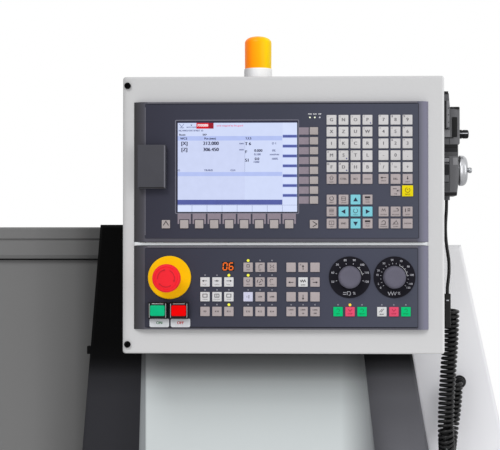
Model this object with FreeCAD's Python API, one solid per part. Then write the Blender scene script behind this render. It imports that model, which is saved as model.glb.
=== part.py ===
"""Small flat-bed turning lathe with numerical control.

Millimetres. X runs along the bed to the operator's right, Y runs away from the operator and Z up.
The origin lies on the floor, below the middle of the stand. The operator station is the part that
is modelled in most detail: a sheet-metal box with a screen unit, a machine control unit, an
emergency stop, two power buttons, two override knobs and a hand-held pulse generator.
"""
import math
import os

import FreeCAD
import Part

V = FreeCAD.Vector
OUT = "parts"

# ---------------------------------------------------------------- lathe: driving sizes
bed_top = 860.0
swing_height = 220.0        # from the bed's ways to the spindle axis
spindle_y = 80.0            # spindle axis, behind the origin
spindle_z = bed_top + swing_height
running_gap = 0.05          # shaft in its bore, radial
slide_gap = 0.4             # sliding faces
seat_gap = 0.3              # pieces that touch without a weld

stand_depth = 600.0
stand_top = 600.0
pedestal_left_length = 480.0
pedestal_right_length = 440.0
pedestal_edge = 14.0
plinth_height = 90.0
plinth_inset = 25.0
foot_height = 40.0
foot_pad_radius = 38.0
foot_pad_height = 14.0
foot_stud_radius = 9.0
foot_edge = 70.0

bed_length = 1440.0
bed_left = -770.0
bed_right = bed_left + bed_length

tray_reach_left = 130.0     # of the tray beyond the bed
tray_reach_right = 70.0
tray_left = bed_left - tray_reach_left
tray_right = bed_right + tray_reach_right
stand_inset = 160.0         # of the left pedestal from the tray's left end
tray_front = -300.0
tray_back = 420.0
tray_height = 62.0
tray_wall = 4.0
ledge_reach = 45.0          # door ledge along the tray's front
ledge_sheet = 6.0
ledge_lip = 14.0
ledge_lip_sheet = 3.0
ledge_drop = 40.0           # ledge's underside above the stand's top

bed_width = 300.0
bed_web = 60.0              # thickness of each side wall
bed_rail_width = 74.0
bed_rail_height = 34.0
bed_foot_height = 30.0
bed_window_count = 5
bed_window_length = 150.0
bed_window_height = 74.0

headstock_inset = 20.0      # from the bed's left end
headstock_left = bed_left + headstock_inset
headstock_length = 340.0
headstock_width = 280.0
headstock_top = 1240.0
headstock_edge = 24.0

spindle_bore = 26.0         # radii
spindle_shaft = 45.0
spindle_nose = 70.0
spindle_nose_length = 18.0
spindle_tail = 60.0         # beyond the headstock on the left
pulley_radius = 92.0
pulley_length = 44.0
pulley_groove = 4.0
pulley_grooves = 5

chuck_radius = 105.0
chuck_length = 82.0
chuck_bore = 28.0
chuck_slot_width = 26.0
chuck_slot_depth = 40.0
jaw_count = 3
jaw_inner = 34.0            # from the axis at rest
jaw_length = 62.0
jaw_step = 16.0
jaw_step_count = 3

saddle_length = 260.0
saddle_width = 400.0
saddle_height = 66.0
saddle_skirt = 46.0
saddle_x = 0.0
cross_width = 150.0
cross_length = 300.0
cross_height = 46.0
dovetail_height = 16.0
dovetail_slope = 10.0
cross_y = -40.0             # middle of the cross slide at rest
turret_x = 0.0
turret_y = -105.0
turret_base_radius = 74.0
turret_base_height = 50.0
tool_block_size = 150.0
tool_block_height = 78.0
tool_slot = 24.0
tool_overhang = 38.0
tool_bolt_radius = 5.0
ballscrew_radius = 14.0
screw_before_bed = 42.0     # the feed screw runs this far in front of the bed and below its top
screw_below_top = 60.0
ballscrew_y = spindle_y - bed_width / 2 - screw_before_bed
ballscrew_z = bed_top - screw_below_top
ballscrew_bearing = 60.0    # from each end of the bed to the screw's end
screw_journal = 26.0        # length of each end journal
journal_radius = 9.0
bracket_half = 22.0
nut_half = 25.0
nut_length = 90.0

tailstock_inset = 260.0     # from its left side to the bed's right end
tailstock_left = bed_right - tailstock_inset
tailstock_length = 200.0
tailstock_width = 240.0
tailstock_base_height = 60.0
tailstock_neck = 42.0       # half thickness of the neck under the barrel
tailstock_cap = 12.0        # rear bearing cap
tailstock_barrel = 52.0     # radius of the cast barrel
quill_radius = 30.0
quill_reach = 34.0          # out of the barrel at rest
quill_length = 190.0
centre_length = 62.0
centre_radius = 20.0
tail_wheel_radius = 78.0
tail_wheel_rim = 8.0
tail_wheel_hub = 20.0
tail_wheel_hub_length = 26.0
tail_handle_length = 46.0
tail_handle_radius = 8.0
tail_shaft_radius = 10.0
tail_shaft_reach = 140.0    # into the quill
quill_socket = 150.0        # depth of the quill's rear bore

guard_sheet = 3.0
rear_guard_inset = 20.0
rear_guard_y = tray_back - rear_guard_inset
rear_guard_hood = 90.0
rear_guard_drop = 4.0       # its top below the end cover's top

cover_lean = 100.0          # headstock cover: its left end leans outwards going down
cover_left_top = tray_left + cover_lean
cover_top = 1350.0
cover_sheet = 3.0
cover_gap = 3.0             # from the headstock's right face to the cover's right wall
cover_hole = 46.0           # square bar entry in the left end, half its side
nose_hole_gap = 6.0
bed_hole_gap = 10.0
bed_hole_rear = 18.0        # the same behind the bed, where its rear foot passes
rail_height = 14.0          # door guide along the top
rail_depth = 16.0
rail_z = 1296.0

door_thickness = 22.0
door_play = 2.0             # between the guide rail and the door
door_front = tray_front - rail_depth - door_play - door_thickness
door_overlap = 42.0         # of the shut door over the headstock
door_left = headstock_left + headstock_length - door_overlap
door_top = 1350.0
door_hood = 20.0            # first fold under the top edge
door_band = 50.0            # second fold, from the top edge
door_fold = 8.0
door_groove = 2.5
handle_length = 300.0
handle_radius = 9.0
handle_reach = 42.0
handle_x = -30.0
handle_z = 980.0

box_inset = 170.0           # from the bed's right end to the middle of the operator box
box_x = bed_right - box_inset
box_z = 1365.0
plate_height = 397.0

pod_depth = 65.0            # of the part that stands in front of the door
pod_front = tray_front - ledge_reach - pod_depth
pod_door_gap = 10.0
pod_top = 1353.0
pod_bottom = stand_top + ledge_drop
pod_edge = 4.0
pod_left_reach = 283.0      # from the box's middle to the pod's top corners
pod_right_reach = 160.5
pod_left_top = box_x - pod_left_reach
pod_right_top = box_x + pod_right_reach
pod_left_slope = 0.080      # run per unit of fall
pod_right_slope = 0.170
door_behind_pod = 9.0
door_right = pod_left_top + door_behind_pod

column_depth = 50.0
column_left_reach = 214.0   # from the box's middle to the column's top corners
column_right_reach = 118.4
column_below_plate = 3.5
column_front = pod_front - column_depth
column_left_top = box_x - column_left_reach
column_right_top = box_x + column_right_reach
column_left_slope = 0.027
column_right_slope = 0.114
column_top = box_z - plate_height / 2 - column_below_plate
column_bottom = pod_bottom
column_edge = 6.0
column_arm_width = 220.0    # plate behind the box
column_arm_foot = 40.0      # of that plate, inside the column
column_arm_top = 1345.0

end_cover_depth = 60.0      # in front of the tray
end_cover_reach_top = 33.0  # beyond the tray's right end
end_cover_reach = 160.0
end_cover_front = tray_front - end_cover_depth
end_cover_top = 1322.0
end_cover_right_top = tray_right + end_cover_reach_top
end_cover_right_bottom = tray_right + end_cover_reach
end_cover_slope = 0.218     # run per unit of fall, down to where the edge goes straight down
end_cover_bottom = pod_bottom
end_cover_edge = 5.0

cabinet_left = -640.0
cabinet_length = 900.0
cabinet_depth = 183.0
cabinet_bottom = 470.0
cabinet_top = 1290.0
cabinet_edge = 10.0
cabinet_seam = 3.0
cabinet_seam_inset = 20.0
cabinet_vent_top = 70.0     # from the top to the first slot
cabinet_vents = 7
cabinet_vent_length = 120.0
cabinet_vent_height = 6.0
cabinet_vent_pitch = 16.0

# ---------------------------------------------------------------- operator station
plate_width = 460.0
plate_sheet = 3.0
plate_return = 28.0
plate_corner = 4.0
tub_inset_x = 24.0          # of the tub from the plate's edges
tub_inset_z = 21.5
tub_width = plate_width - 2 * tub_inset_x
tub_height = plate_height - 2 * tub_inset_z
tub_depth = 92.0
tub_sheet = 2.5
box_behind = 30.0           # from the tub's back to the pod's front
box_y = pod_front - box_behind - tub_depth - plate_return     # front plane of the operator box
screw_radius = 4.6
screw_head = 3.4
screw_inset_x = 7.0
screw_inset_z = 13.0

unit_side_margin = 19.5     # bare plate beside and below the units
unit_low_margin = 35.1
unit_width = plate_width - 2 * unit_side_margin
unit_shift = -3.2           # both units sit a little left of the plate's middle
unit_gap = 5.8              # bare plate between the two units
screen_unit_height = 200.0
machine_unit_height = 119.0
machine_unit_z = -plate_height / 2 + unit_low_margin + machine_unit_height / 2
screen_unit_z = machine_unit_z + machine_unit_height / 2 + unit_gap + screen_unit_height / 2
unit_proud = 8.0
unit_body_depth = 52.0
unit_body_inset = 12.0
unit_side_left = 17.0       # curved sides
unit_side_right = 14.0
display_width = 171.8
display_height = 129.0
display_x = -65.4
display_z = 68.6
display_depth = 2.0

key_height = 1.8
key_size = 14.0
key_pitch = 17.03
letter_key_x = 69.3
number_key_x = 143.1
top_key_z = 135.0
top_key_rows = 5
top_key_pitch_z = 16.84
cursor_key_z = 21.5
input_key_size = 15.7
softkey_size = 11.9
softkey_pitch = 21.4
softkey_x = -140.8
softkey_z = -13.4
recall_key_x = -167.0
extend_key_x = 44.3
side_softkey_z = 119.4
side_softkey_pitch = 14.07
side_softkey_height = 10.6
machine_key_size = 13.4
machine_key_pitch_z = 21.0
machine_key_z = -74.8
machine_keys_a = -111.0
machine_keys_b = -49.5
machine_keys_c = 11.7
spindle_keys = 78.4
feed_keys = 140.5
digit_x = -78.0
digit_z = -73.6
digit_width = 17.4
digit_height = 13.0

stop_x = -163.2
stop_z = -89.9
stop_plate_x = -161.7       # the yellow plate sits a little off the button's axis
stop_plate_z = -89.4
stop_plate_radius = 30.7
stop_plate_height = 4.0
stop_neck_radius = 13.0
stop_collar_radius = 15.5
stop_collar_height = 7.0
stop_head_radius = 20.0
stop_head_height = 20.0
stop_head_gap = 4.0         # from the collar to the pressed-in head
stop_travel = 5.0
power_on_x = -178.1
power_off_x = -147.8
power_z = -136.4
power_frame_width = 27.0
power_frame_height = 23.4
power_frame_proud = 9.0
power_lens_width = 20.8
power_lens_height = 15.2
power_lens_proud = 5.0
power_lens_depth = 6.0
power_travel = 3.0
knob_radius = 17.0
knob_height = 17.0
knob_lift = 0.4
knob_shaft = 3.0
scale_radius = 29.6
scale_height = 1.2
spindle_knob_x = 95.0
feed_knob_x = 158.4
knob_z = -88.9
usb_x = -186.6
usb_z = 68.4
usb_width = 40.0
usb_height = 62.6
usb_thickness = 10.0
usb_edge = 2.5

beacon_x = -38.0
beacon_y = 75.0
beacon_radius = 20.0
beacon_rise = 19.0          # of the base above the front plate's top edge
beacon_lens_height = 48.0
beacon_step = 1.4

pendant_slab_reach = 11.6   # hand-held unit: its faces measured from the plate's right edge
pendant_face_reach = 27.2
pendant_waist_reach = 24.4
pendant_lower_reach = 25.3
pendant_split_x = plate_width / 2 + pendant_slab_reach
pendant_face_x = plate_width / 2 + pendant_face_reach
pendant_waist_x = plate_width / 2 + pendant_waist_reach
pendant_lower_x = plate_width / 2 + pendant_lower_reach
pendant_y = 75.0
pendant_half = 34.0
pendant_waist_half = 27.0
pendant_top = 176.8
pendant_slab_top = 157.0
pendant_slab_lean = 1.5     # the slab thins towards its top
pendant_slab_bottom = 126.6
pendant_upper_top = 157.9
pendant_upper_bottom = 105.4
pendant_lower_top = 75.0
pendant_bottom = 29.0
pendant_edge = 8.0
holder_sheet = 4.0
holder_shelf = 22.0
holder_half = 24.0
selector_z = 120.0
selector_radius = 6.6
selector_length = 14.4
selector_shaft = 2.0
wheel_z = 66.2
wheel_radius = 23.2
wheel_length = 14.3
wheel_neck = 20.0
wheel_shaft = 4.0
crank_radius = 4.1
crank_length = 5.6
crank_offset = 14.0
shaft_depth = 12.0          # knob and wheel shafts into their housing
cord_radius = 2.5
cable_points = [(239.6, 75.0, 29.0), (239.6, 75.0, 8.0), (237.4, 74.6, -16.0), (238.8, 73.6, -42.0),
                (243.2, 71.4, -68.0), (242.0, 68.2, -90.0), (239.8, 66.6, -103.0),
                (239.8, 66.6, -114.5)]
sleeve_x = 239.8
sleeve_y = 66.6
sleeve_top = -114.5
sleeve_bottom = -164.0
sleeve_half_x = 4.6
sleeve_half_y = 4.8
sleeve_edge = 1.5
coil_radius = 12.2          # outside of the curls
coil_x = 247.0
coil_y = 85.0
coil_top = -138.0
coil_turn_z = -310.0        # where the hanging loop starts to turn back
coil_loop = 42.5            # radius of that loop
coil_back_top = -255.0
coil_lean = 8.0             # the hanging strand leans to the left on its way down
coil_swing = 13.0           # the returning strand ends this far to the right
coil_pitch = 6.6
coil_loop_pitch = 7.3
coil_sides = 6
gland_radius = 8.0
gland_length = 16.0


# ---------------------------------------------------------------- shape helpers
def block(x0, x1, y0, y1, z0, z1):
    """Box between two corners."""
    return Part.makeBox(x1 - x0, y1 - y0, z1 - z0, V(x0, y0, z0))


def rod(start, axis, radius, length):
    """Cylinder from a point along an axis."""
    return Part.makeCylinder(radius, length, V(*start), V(*axis))


def cone(start, axis, r0, r1, length):
    """Truncated cone from a point along an axis."""
    return Part.makeCone(r0, r1, length, V(*start), V(*axis))


def prism_x(points_yz, x0, x1):
    """Outline in the YZ plane, carried from x0 to x1."""
    wire = Part.makePolygon([V(x0, y, z) for y, z in points_yz + points_yz[:1]])
    return Part.Face(wire).extrude(V(x1 - x0, 0, 0))


def prism_y(points_xz, y0, y1):
    """Outline in the XZ plane, carried from y0 to y1."""
    wire = Part.makePolygon([V(x, y0, z) for x, z in points_xz + points_xz[:1]])
    return Part.Face(wire).extrude(V(0, y1 - y0, 0))


def prism_z(points_xy, z0, z1):
    """Outline in the XY plane, carried from z0 to z1."""
    wire = Part.makePolygon([V(x, y, z0) for x, y in points_xy + points_xy[:1]])
    return Part.Face(wire).extrude(V(0, 0, z1 - z0))


def turned(profile, axis_point, axis):
    """Solid of revolution: profile is a list of (distance along the axis, radius)."""
    base = [(profile[0][0], 0.0)] + [p for p in profile if p[1] > 0] + [(profile[-1][0], 0.0)]
    wire = Part.makePolygon([V(r, 0, a) for a, r in base + base[:1]])
    solid = Part.Face(wire).revolve(V(0, 0, 0), V(0, 0, 1), 360)
    turn = FreeCAD.Rotation(V(0, 0, 1), V(*axis))
    solid.Placement = FreeCAD.Placement(V(*axis_point), turn)
    return solid


def along(shape, direction):
    """Edges of a shape that run along an axis."""
    axis = V(*direction)
    found = []
    for edge in shape.Edges:
        if isinstance(edge.Curve, Part.Line) and abs(edge.Curve.Direction.dot(axis)) > 0.999:
            found.append(edge)
    return found


def rounded(shape, radius, edges):
    """Shape with a fillet on the given edges."""
    return shape.makeFillet(radius, edges)


def bevelled(shape, size, edges):
    """Shape with a chamfer on the given edges."""
    return shape.makeChamfer(size, edges)


def edges_at_y(shape, y):
    """Edges that lie wholly in the plane of this Y."""
    return [e for e in shape.Edges if abs(e.BoundBox.YMin - y) < 0.01 and abs(e.BoundBox.YMax - y) < 0.01]


def edges_at_z(shape, z):
    """Edges that lie wholly in the plane of this Z."""
    return [e for e in shape.Edges if abs(e.BoundBox.ZMin - z) < 0.01 and abs(e.BoundBox.ZMax - z) < 0.01]


def group(shapes):
    """Several separate solids in one piece list."""
    return Part.makeCompound(shapes)


def on_box(x, y, z):
    """Point of the operator station, measured from the middle of the box's front plate."""
    return (box_x + x, box_y + y, box_z + z)


# ---------------------------------------------------------------- stand, tray and bed
tray_top = stand_top + tray_height
ledge_bottom = stand_top + ledge_drop
ledge_top = ledge_bottom + ledge_sheet
pod_rear_x = door_right + pod_door_gap
stand_left = tray_left + stand_inset
stand_right = tray_right
stand_front = -stand_depth / 2 + 40.0
stand_back = stand_front + stand_depth


def pedestal(x0, x1):
    """Closed welded pedestal with rounded corners on a set-back plinth."""
    body = block(x0, x1, stand_front, stand_back, foot_height + plinth_height, stand_top)
    body = rounded(body, pedestal_edge, along(body, (0, 0, 1)))
    plinth = block(x0 + plinth_inset, x1 - plinth_inset, stand_front + plinth_inset,
                   stand_back - plinth_inset, foot_height, foot_height + plinth_height)
    return body.fuse(plinth).removeSplitter()


def stand_pedestals():
    left = pedestal(stand_left, stand_left + pedestal_left_length)
    right = pedestal(stand_right - pedestal_right_length, stand_right)
    return group([left, right])


def levelling_feet():
    """Pad, stud and lock nut under each corner of each pedestal."""
    feet = []
    spans = [(stand_left, stand_left + pedestal_left_length),
             (stand_right - pedestal_right_length, stand_right)]
    for x0, x1 in spans:
        for x in (x0 + foot_edge, x1 - foot_edge):
            for y in (stand_front + foot_edge, stand_back - foot_edge):
                pad = turned([(0, foot_pad_radius), (foot_pad_height * 0.6, foot_pad_radius),
                              (foot_pad_height, foot_pad_radius * 0.55)], (x, y, 0), (0, 0, 1))
                stud = rod((x, y, foot_pad_height), (0, 0, 1), foot_stud_radius,
                           foot_height - foot_pad_height)
                feet.append(pad.fuse(stud))
    return group(feet)


def chip_tray():
    """Open sheet tray that carries the bed and catches chips, with the door's ledge along its front."""
    x0, x1 = tray_left, tray_right
    outer = block(x0, x1, tray_front, tray_back, stand_top, tray_top)
    hollow = block(x0 + tray_wall, x1 - tray_wall, tray_front + tray_wall, tray_back - tray_wall,
                   stand_top + tray_wall, tray_top + 1)
    end = pod_rear_x - seat_gap
    ledge = block(x0, end, tray_front - ledge_reach, tray_front, ledge_bottom, ledge_top)
    lip = block(x0, end, tray_front - ledge_reach, tray_front - ledge_reach + ledge_lip_sheet,
                ledge_bottom, ledge_bottom + ledge_lip)
    return outer.cut(hollow).fuse(ledge).fuse(lip).removeSplitter()


screw_left = bed_left + ballscrew_bearing
screw_right = bed_left + bed_length - ballscrew_bearing


def bed_front():
    return spindle_y - bed_width / 2


def bed_back():
    return spindle_y + bed_width / 2


def lathe_bed():
    """Cast bed: two side walls on a foot, joined by a floor, with a rail on each and core windows."""
    x0, x1 = bed_left, bed_left + bed_length
    y0, y1 = bed_front(), bed_back()
    z0 = stand_top + tray_wall
    rail_z = bed_top - bed_rail_height
    foot_over = 18.0
    points = [(y0 - foot_over, z0), (y1 + foot_over, z0), (y1 + foot_over, z0 + bed_foot_height),
              (y1, z0 + bed_foot_height + 14), (y1, bed_top),
              (y1 - bed_rail_width, bed_top), (y1 - bed_rail_width, rail_z),
              (y1 - bed_web, rail_z - 14), (y1 - bed_web, z0 + bed_foot_height + 40),
              (y0 + bed_web, z0 + bed_foot_height + 40), (y0 + bed_web, rail_z - 14),
              (y0 + bed_rail_width, rail_z), (y0 + bed_rail_width, bed_top),
              (y0, bed_top), (y0, z0 + bed_foot_height + 14), (y0 - foot_over, z0 + bed_foot_height)]
    bed = prism_x(points, x0, x1)
    step = bed_length / (bed_window_count + 1)
    middle_z = (z0 + bed_foot_height + bed_top) / 2 - 6
    for i in range(bed_window_count):
        x = x0 + step * (i + 1)
        window = block(x - bed_window_length / 2, x + bed_window_length / 2, y0 - 1, y0 + 16,
                       middle_z - bed_window_height / 2, middle_z + bed_window_height / 2)
        window = rounded(window, 20.0, along(window, (0, 1, 0)))
        behind = window.translated(V(0, bed_width - 15, 0))
        bed = bed.cut(window).cut(behind)
    for x in (screw_left, screw_right - screw_journal):
        bracket = block(x, x + screw_journal, ballscrew_y - bracket_half, y0, ballscrew_z - bracket_half,
                        ballscrew_z + bracket_half)
        bore = rod((x - 1, ballscrew_y, ballscrew_z), (1, 0, 0), journal_radius + running_gap,
                   screw_journal + 2)
        bed = bed.fuse(bracket.cut(bore))
    return bed.removeSplitter()


# ---------------------------------------------------------------- headstock and spindle
headstock_right = headstock_left + headstock_length


def headstock():
    """Headstock casting with the bore for the spindle and a boss round it."""
    y0 = spindle_y - headstock_width / 2
    y1 = spindle_y + headstock_width / 2
    body = block(headstock_left, headstock_right, y0, y1, bed_top, headstock_top)
    body = rounded(body, headstock_edge, along(body, (1, 0, 0)))
    boss = rod((headstock_left - 8, spindle_y, spindle_z), (1, 0, 0), spindle_nose + 8,
               headstock_length + 10)
    bore = rod((headstock_left - 20, spindle_y, spindle_z), (1, 0, 0),
               spindle_shaft + running_gap, headstock_length + 40)
    key = block(headstock_left + 20, headstock_right - 20, spindle_y - bed_width / 2 + bed_rail_width + 1,
                spindle_y + bed_width / 2 - bed_rail_width - 1, bed_top - 20, bed_top + 10)
    return body.fuse(boss).fuse(key).cut(bore).removeSplitter()


def spindle():
    """Hollow spindle with its nose flange and the grooved belt pulley at its tail."""
    nose_x = headstock_right + 4.0
    tail_x = headstock_left - spindle_tail
    body = rod((tail_x, spindle_y, spindle_z), (1, 0, 0), spindle_shaft, nose_x - tail_x)
    nose = rod((nose_x, spindle_y, spindle_z), (1, 0, 0), spindle_nose, spindle_nose_length)
    pulley_x = headstock_left - 12.0 - pulley_length
    profile = [(0, pulley_radius)]
    pitch = pulley_length / pulley_grooves
    for i in range(pulley_grooves):
        start = i * pitch
        profile += [(start + pitch * 0.2, pulley_radius),
                    (start + pitch * 0.5, pulley_radius - pulley_groove),
                    (start + pitch * 0.8, pulley_radius)]
    profile.append((pulley_length, pulley_radius))
    pulley = turned(profile, (pulley_x, spindle_y, spindle_z), (1, 0, 0))
    bore = rod((tail_x - 1, spindle_y, spindle_z), (1, 0, 0), spindle_bore,
               nose_x - tail_x + spindle_nose_length + 2)
    return body.fuse(nose).fuse(pulley).cut(bore).removeSplitter()


chuck_x = headstock_right + 4.0 + spindle_nose_length
chuck_face = chuck_x + chuck_length


def jaw_turn(shape, index):
    """A jaw's piece turned to its place round the spindle axis."""
    copy = shape.copy()
    copy.rotate(V(chuck_x, spindle_y, spindle_z), V(1, 0, 0), 90.0 + index * 360.0 / jaw_count)
    return copy


def chuck_body():
    """Three-jaw chuck body: turned, with a through bore and one slot for each jaw."""
    body = turned([(0, chuck_radius - 4), (4, chuck_radius), (chuck_length - 6, chuck_radius),
                   (chuck_length, chuck_radius - 6)], (chuck_x, spindle_y, spindle_z), (1, 0, 0))
    body = body.cut(rod((chuck_x - 1, spindle_y, spindle_z), (1, 0, 0), chuck_bore, chuck_length + 2))
    half = chuck_slot_width / 2
    slot = block(chuck_face - chuck_slot_depth, chuck_face + 1, spindle_y + spindle_bore - 8,
                 spindle_y + chuck_radius + 5, spindle_z - half, spindle_z + half)
    for i in range(jaw_count):
        body = body.cut(jaw_turn(slot, i))
    socket = rod((chuck_x + chuck_length * 0.35, spindle_y, spindle_z + chuck_radius - 14),
                 (0, 0, 1), 6.0, 20)
    for i in range(jaw_count):
        turned_socket = socket.copy()
        turned_socket.rotate(V(chuck_x, spindle_y, spindle_z), V(1, 0, 0), 180.0 + i * 360.0 / jaw_count)
        body = body.cut(turned_socket)
    return body


def chuck_jaw(index):
    """Stepped hard jaw in its slot."""
    half = chuck_slot_width / 2 - slide_gap
    y0 = spindle_y + jaw_inner
    base_x = chuck_face - chuck_slot_depth + slide_gap
    jaw = block(base_x, chuck_face + 6, y0, y0 + jaw_length, spindle_z - half, spindle_z + half)
    rise = jaw_length / jaw_step_count
    for i in range(jaw_step_count):
        step = block(chuck_face, chuck_face + 6 + jaw_step * (jaw_step_count - i), y0 + rise * i,
                     y0 + rise * (i + 1), spindle_z - half, spindle_z + half)
        jaw = jaw.fuse(step)
    return jaw_turn(jaw.removeSplitter(), index)


# ---------------------------------------------------------------- carriage and tools
saddle_bottom = bed_top + slide_gap
saddle_top = saddle_bottom + saddle_height
cross_bottom = saddle_top + slide_gap
cross_top = cross_bottom + cross_height
turret_top = cross_top + turret_base_height


def saddle():
    """Saddle that bridges both rails, with a skirt in front and behind and a dovetail on top."""
    x0, x1 = saddle_x - saddle_length / 2, saddle_x + saddle_length / 2
    y0, y1 = spindle_y - saddle_width / 2, spindle_y + saddle_width / 2
    f, b = bed_front() - slide_gap, bed_back() + slide_gap
    points = [(y0, saddle_top), (y0, saddle_bottom - saddle_skirt), (f, saddle_bottom - saddle_skirt),
              (f, saddle_bottom), (b, saddle_bottom), (b, saddle_bottom - saddle_skirt),
              (y1, saddle_bottom - saddle_skirt), (y1, saddle_top)]
    body = prism_x(points, x0, x1)
    waist = 40.0
    side = saddle_length / 2 - cross_width / 2 - 18.0
    for sx in (x0, x1 - side):
        body = body.cut(block(sx - 1, sx + side + 1, bed_front() + waist, bed_back() - waist,
                              saddle_top - 18, saddle_top + 1))
    low = cross_width / 2 - 26.0
    tail = [(saddle_x - low, saddle_top - 1), (saddle_x - low, saddle_top),
            (saddle_x - low - dovetail_slope, saddle_top + dovetail_height),
            (saddle_x + low + dovetail_slope, saddle_top + dovetail_height),
            (saddle_x + low, saddle_top), (saddle_x + low, saddle_top - 1)]
    body = body.fuse(prism_y(tail, y0, y1))
    nut = block(saddle_x - nut_length / 2, saddle_x + nut_length / 2, ballscrew_y - nut_half,
                ballscrew_y + nut_half, ballscrew_z - nut_half, saddle_bottom - saddle_skirt)
    bore = rod((x0, ballscrew_y, ballscrew_z), (1, 0, 0), ballscrew_radius + running_gap, x1 - x0)
    return body.fuse(nut).cut(bore).removeSplitter()


def cross_slide():
    """Cross slide with the dovetail groove below and two tee slots above."""
    x0, x1 = saddle_x - cross_width / 2, saddle_x + cross_width / 2
    y0, y1 = cross_y - cross_length / 2, cross_y + cross_length / 2
    body = block(x0, x1, y0, y1, cross_bottom, cross_top)
    low = cross_width / 2 - 26.0 + slide_gap
    top = saddle_top + dovetail_height + slide_gap
    groove = [(saddle_x - low, cross_bottom - 1), (saddle_x - low, cross_bottom),
              (saddle_x - low - dovetail_slope - slide_gap, top),
              (saddle_x + low + dovetail_slope + slide_gap, top),
              (saddle_x + low, cross_bottom), (saddle_x + low, cross_bottom - 1)]
    body = body.cut(prism_y(groove, y0 - 1, y1 + 1))
    for sx in (-cross_width * 0.3, cross_width * 0.3):
        slot = block(saddle_x + sx - 5, saddle_x + sx + 5, turret_y + turret_base_radius + 12, y1 + 1,
                     cross_top - 9, cross_top + 1)
        body = body.cut(slot)
    return body


def turret_base():
    """Round base of the four-way tool post, bolted to the cross slide."""
    base = turned([(0, turret_base_radius), (turret_base_height - 8, turret_base_radius),
                   (turret_base_height - 8, turret_base_radius - 8),
                   (turret_base_height, turret_base_radius - 8)],
                  (turret_x, turret_y, cross_top), (0, 0, 1))
    foot = block(turret_x - tool_block_size * 0.48, turret_x + tool_block_size * 0.48,
                 turret_y - turret_base_radius, turret_y + turret_base_radius,
                 cross_top, cross_top + 12)
    return base.fuse(foot).removeSplitter()


def tool_block():
    """Four-way tool head: square, with a slot on each side and a domed cap."""
    z0 = turret_top + seat_gap
    half = tool_block_size / 2
    block_top = z0 + tool_block_height
    body = block(turret_x - half, turret_x + half, turret_y - half, turret_y + half, z0, block_top)
    body = bevelled(body, 10.0, along(body, (0, 0, 1)))
    slot_z = spindle_z - tool_slot * 0.75
    for i in range(4):
        slot = block(turret_x - half - 1, turret_x + half + 1, turret_y + half - 26, turret_y + half + 1,
                     slot_z, slot_z + tool_slot + 2)
        slot.rotate(V(turret_x, turret_y, 0), V(0, 0, 1), 90 * i)
        body = body.cut(slot)
    cap = turned([(0, 42), (12, 42), (20, 34), (22, 20)], (turret_x, turret_y, block_top), (0, 0, 1))
    body = body.fuse(cap)
    for i in range(4):
        for s in (-1, 0, 1):
            bolt = rod((turret_x + s * 36, turret_y + half - 13, block_top), (0, 0, 1), tool_bolt_radius, 9)
            bolt.rotate(V(turret_x, turret_y, 0), V(0, 0, 1), 90 * i)
            body = body.fuse(bolt)
    return body.removeSplitter()


def cutting_tools():
    """Four shank tools, one clamped in each slot, each with its insert at centre height."""
    half = tool_block_size / 2
    slot_z = spindle_z - tool_slot * 0.75
    tools = []
    for i in range(4):
        shank = block(turret_x - half, turret_x + half + tool_overhang, turret_y + half - 26 + seat_gap,
                      turret_y + half - 4, slot_z + seat_gap, slot_z + tool_slot * 0.75)
        tip = prism_z([(turret_x + half + tool_overhang - 16, turret_y + half - 4),
                       (turret_x + half + tool_overhang, turret_y + half - 4),
                       (turret_x + half + tool_overhang - 2, turret_y + half + 7)],
                      slot_z + 8, slot_z + tool_slot * 0.75)
        tool = shank.fuse(tip).removeSplitter()
        tool.rotate(V(turret_x, turret_y, 0), V(0, 0, 1), 90 * (i + 1))
        tools.append(tool)
    return group(tools)


def z_ballscrew():
    """Feed screw along the front of the bed with its turned journals."""
    span = screw_right - screw_left
    near = screw_journal + seat_gap
    return turned([(0, journal_radius), (near, journal_radius), (near, ballscrew_radius),
                   (span - near, ballscrew_radius), (span - near, journal_radius),
                   (span, journal_radius)], (screw_left, ballscrew_y, ballscrew_z), (1, 0, 0))


# ---------------------------------------------------------------- tailstock
tail_left = tailstock_left
tail_right = tailstock_left + tailstock_length
barrel_right = tail_right + tailstock_cap


def tailstock():
    """Tailstock casting: foot on the rails, neck and the bored barrel for the quill."""
    y0 = spindle_y - tailstock_width / 2
    y1 = spindle_y + tailstock_width / 2
    z0 = bed_top + slide_gap
    foot_top = z0 + tailstock_base_height
    foot = block(tail_left, tail_right, y0, y1, z0, foot_top)
    foot = bevelled(foot, 8.0, edges_at_z(foot, foot_top))
    points = [(spindle_y - tailstock_neck * 1.6, foot_top - 1),
              (spindle_y + tailstock_neck * 1.6, foot_top - 1),
              (spindle_y + tailstock_neck, spindle_z), (spindle_y - tailstock_neck, spindle_z)]
    neck = prism_x(points, tail_left + 12, tail_right - 12)
    barrel = rod((tail_left, spindle_y, spindle_z), (1, 0, 0), tailstock_barrel, tailstock_length)
    cap = rod((tail_right, spindle_y, spindle_z), (1, 0, 0), tailstock_barrel * 0.7, tailstock_cap)
    key = block(tail_left + 10, tail_right - 10, bed_front() + bed_rail_width + slide_gap,
                bed_back() - bed_rail_width - slide_gap, bed_top - 18, z0 + 1)
    bore = rod((tail_left - 1, spindle_y, spindle_z), (1, 0, 0), quill_radius + running_gap,
               tailstock_length - 9)
    shaft = rod((tail_left, spindle_y, spindle_z), (1, 0, 0), tail_shaft_radius + running_gap,
                tailstock_length + tailstock_cap + 1)
    body = foot.fuse(neck).fuse(barrel).fuse(cap).fuse(key)
    return body.cut(bore).cut(shaft).removeSplitter()


quill_left = tail_left - quill_reach


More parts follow.
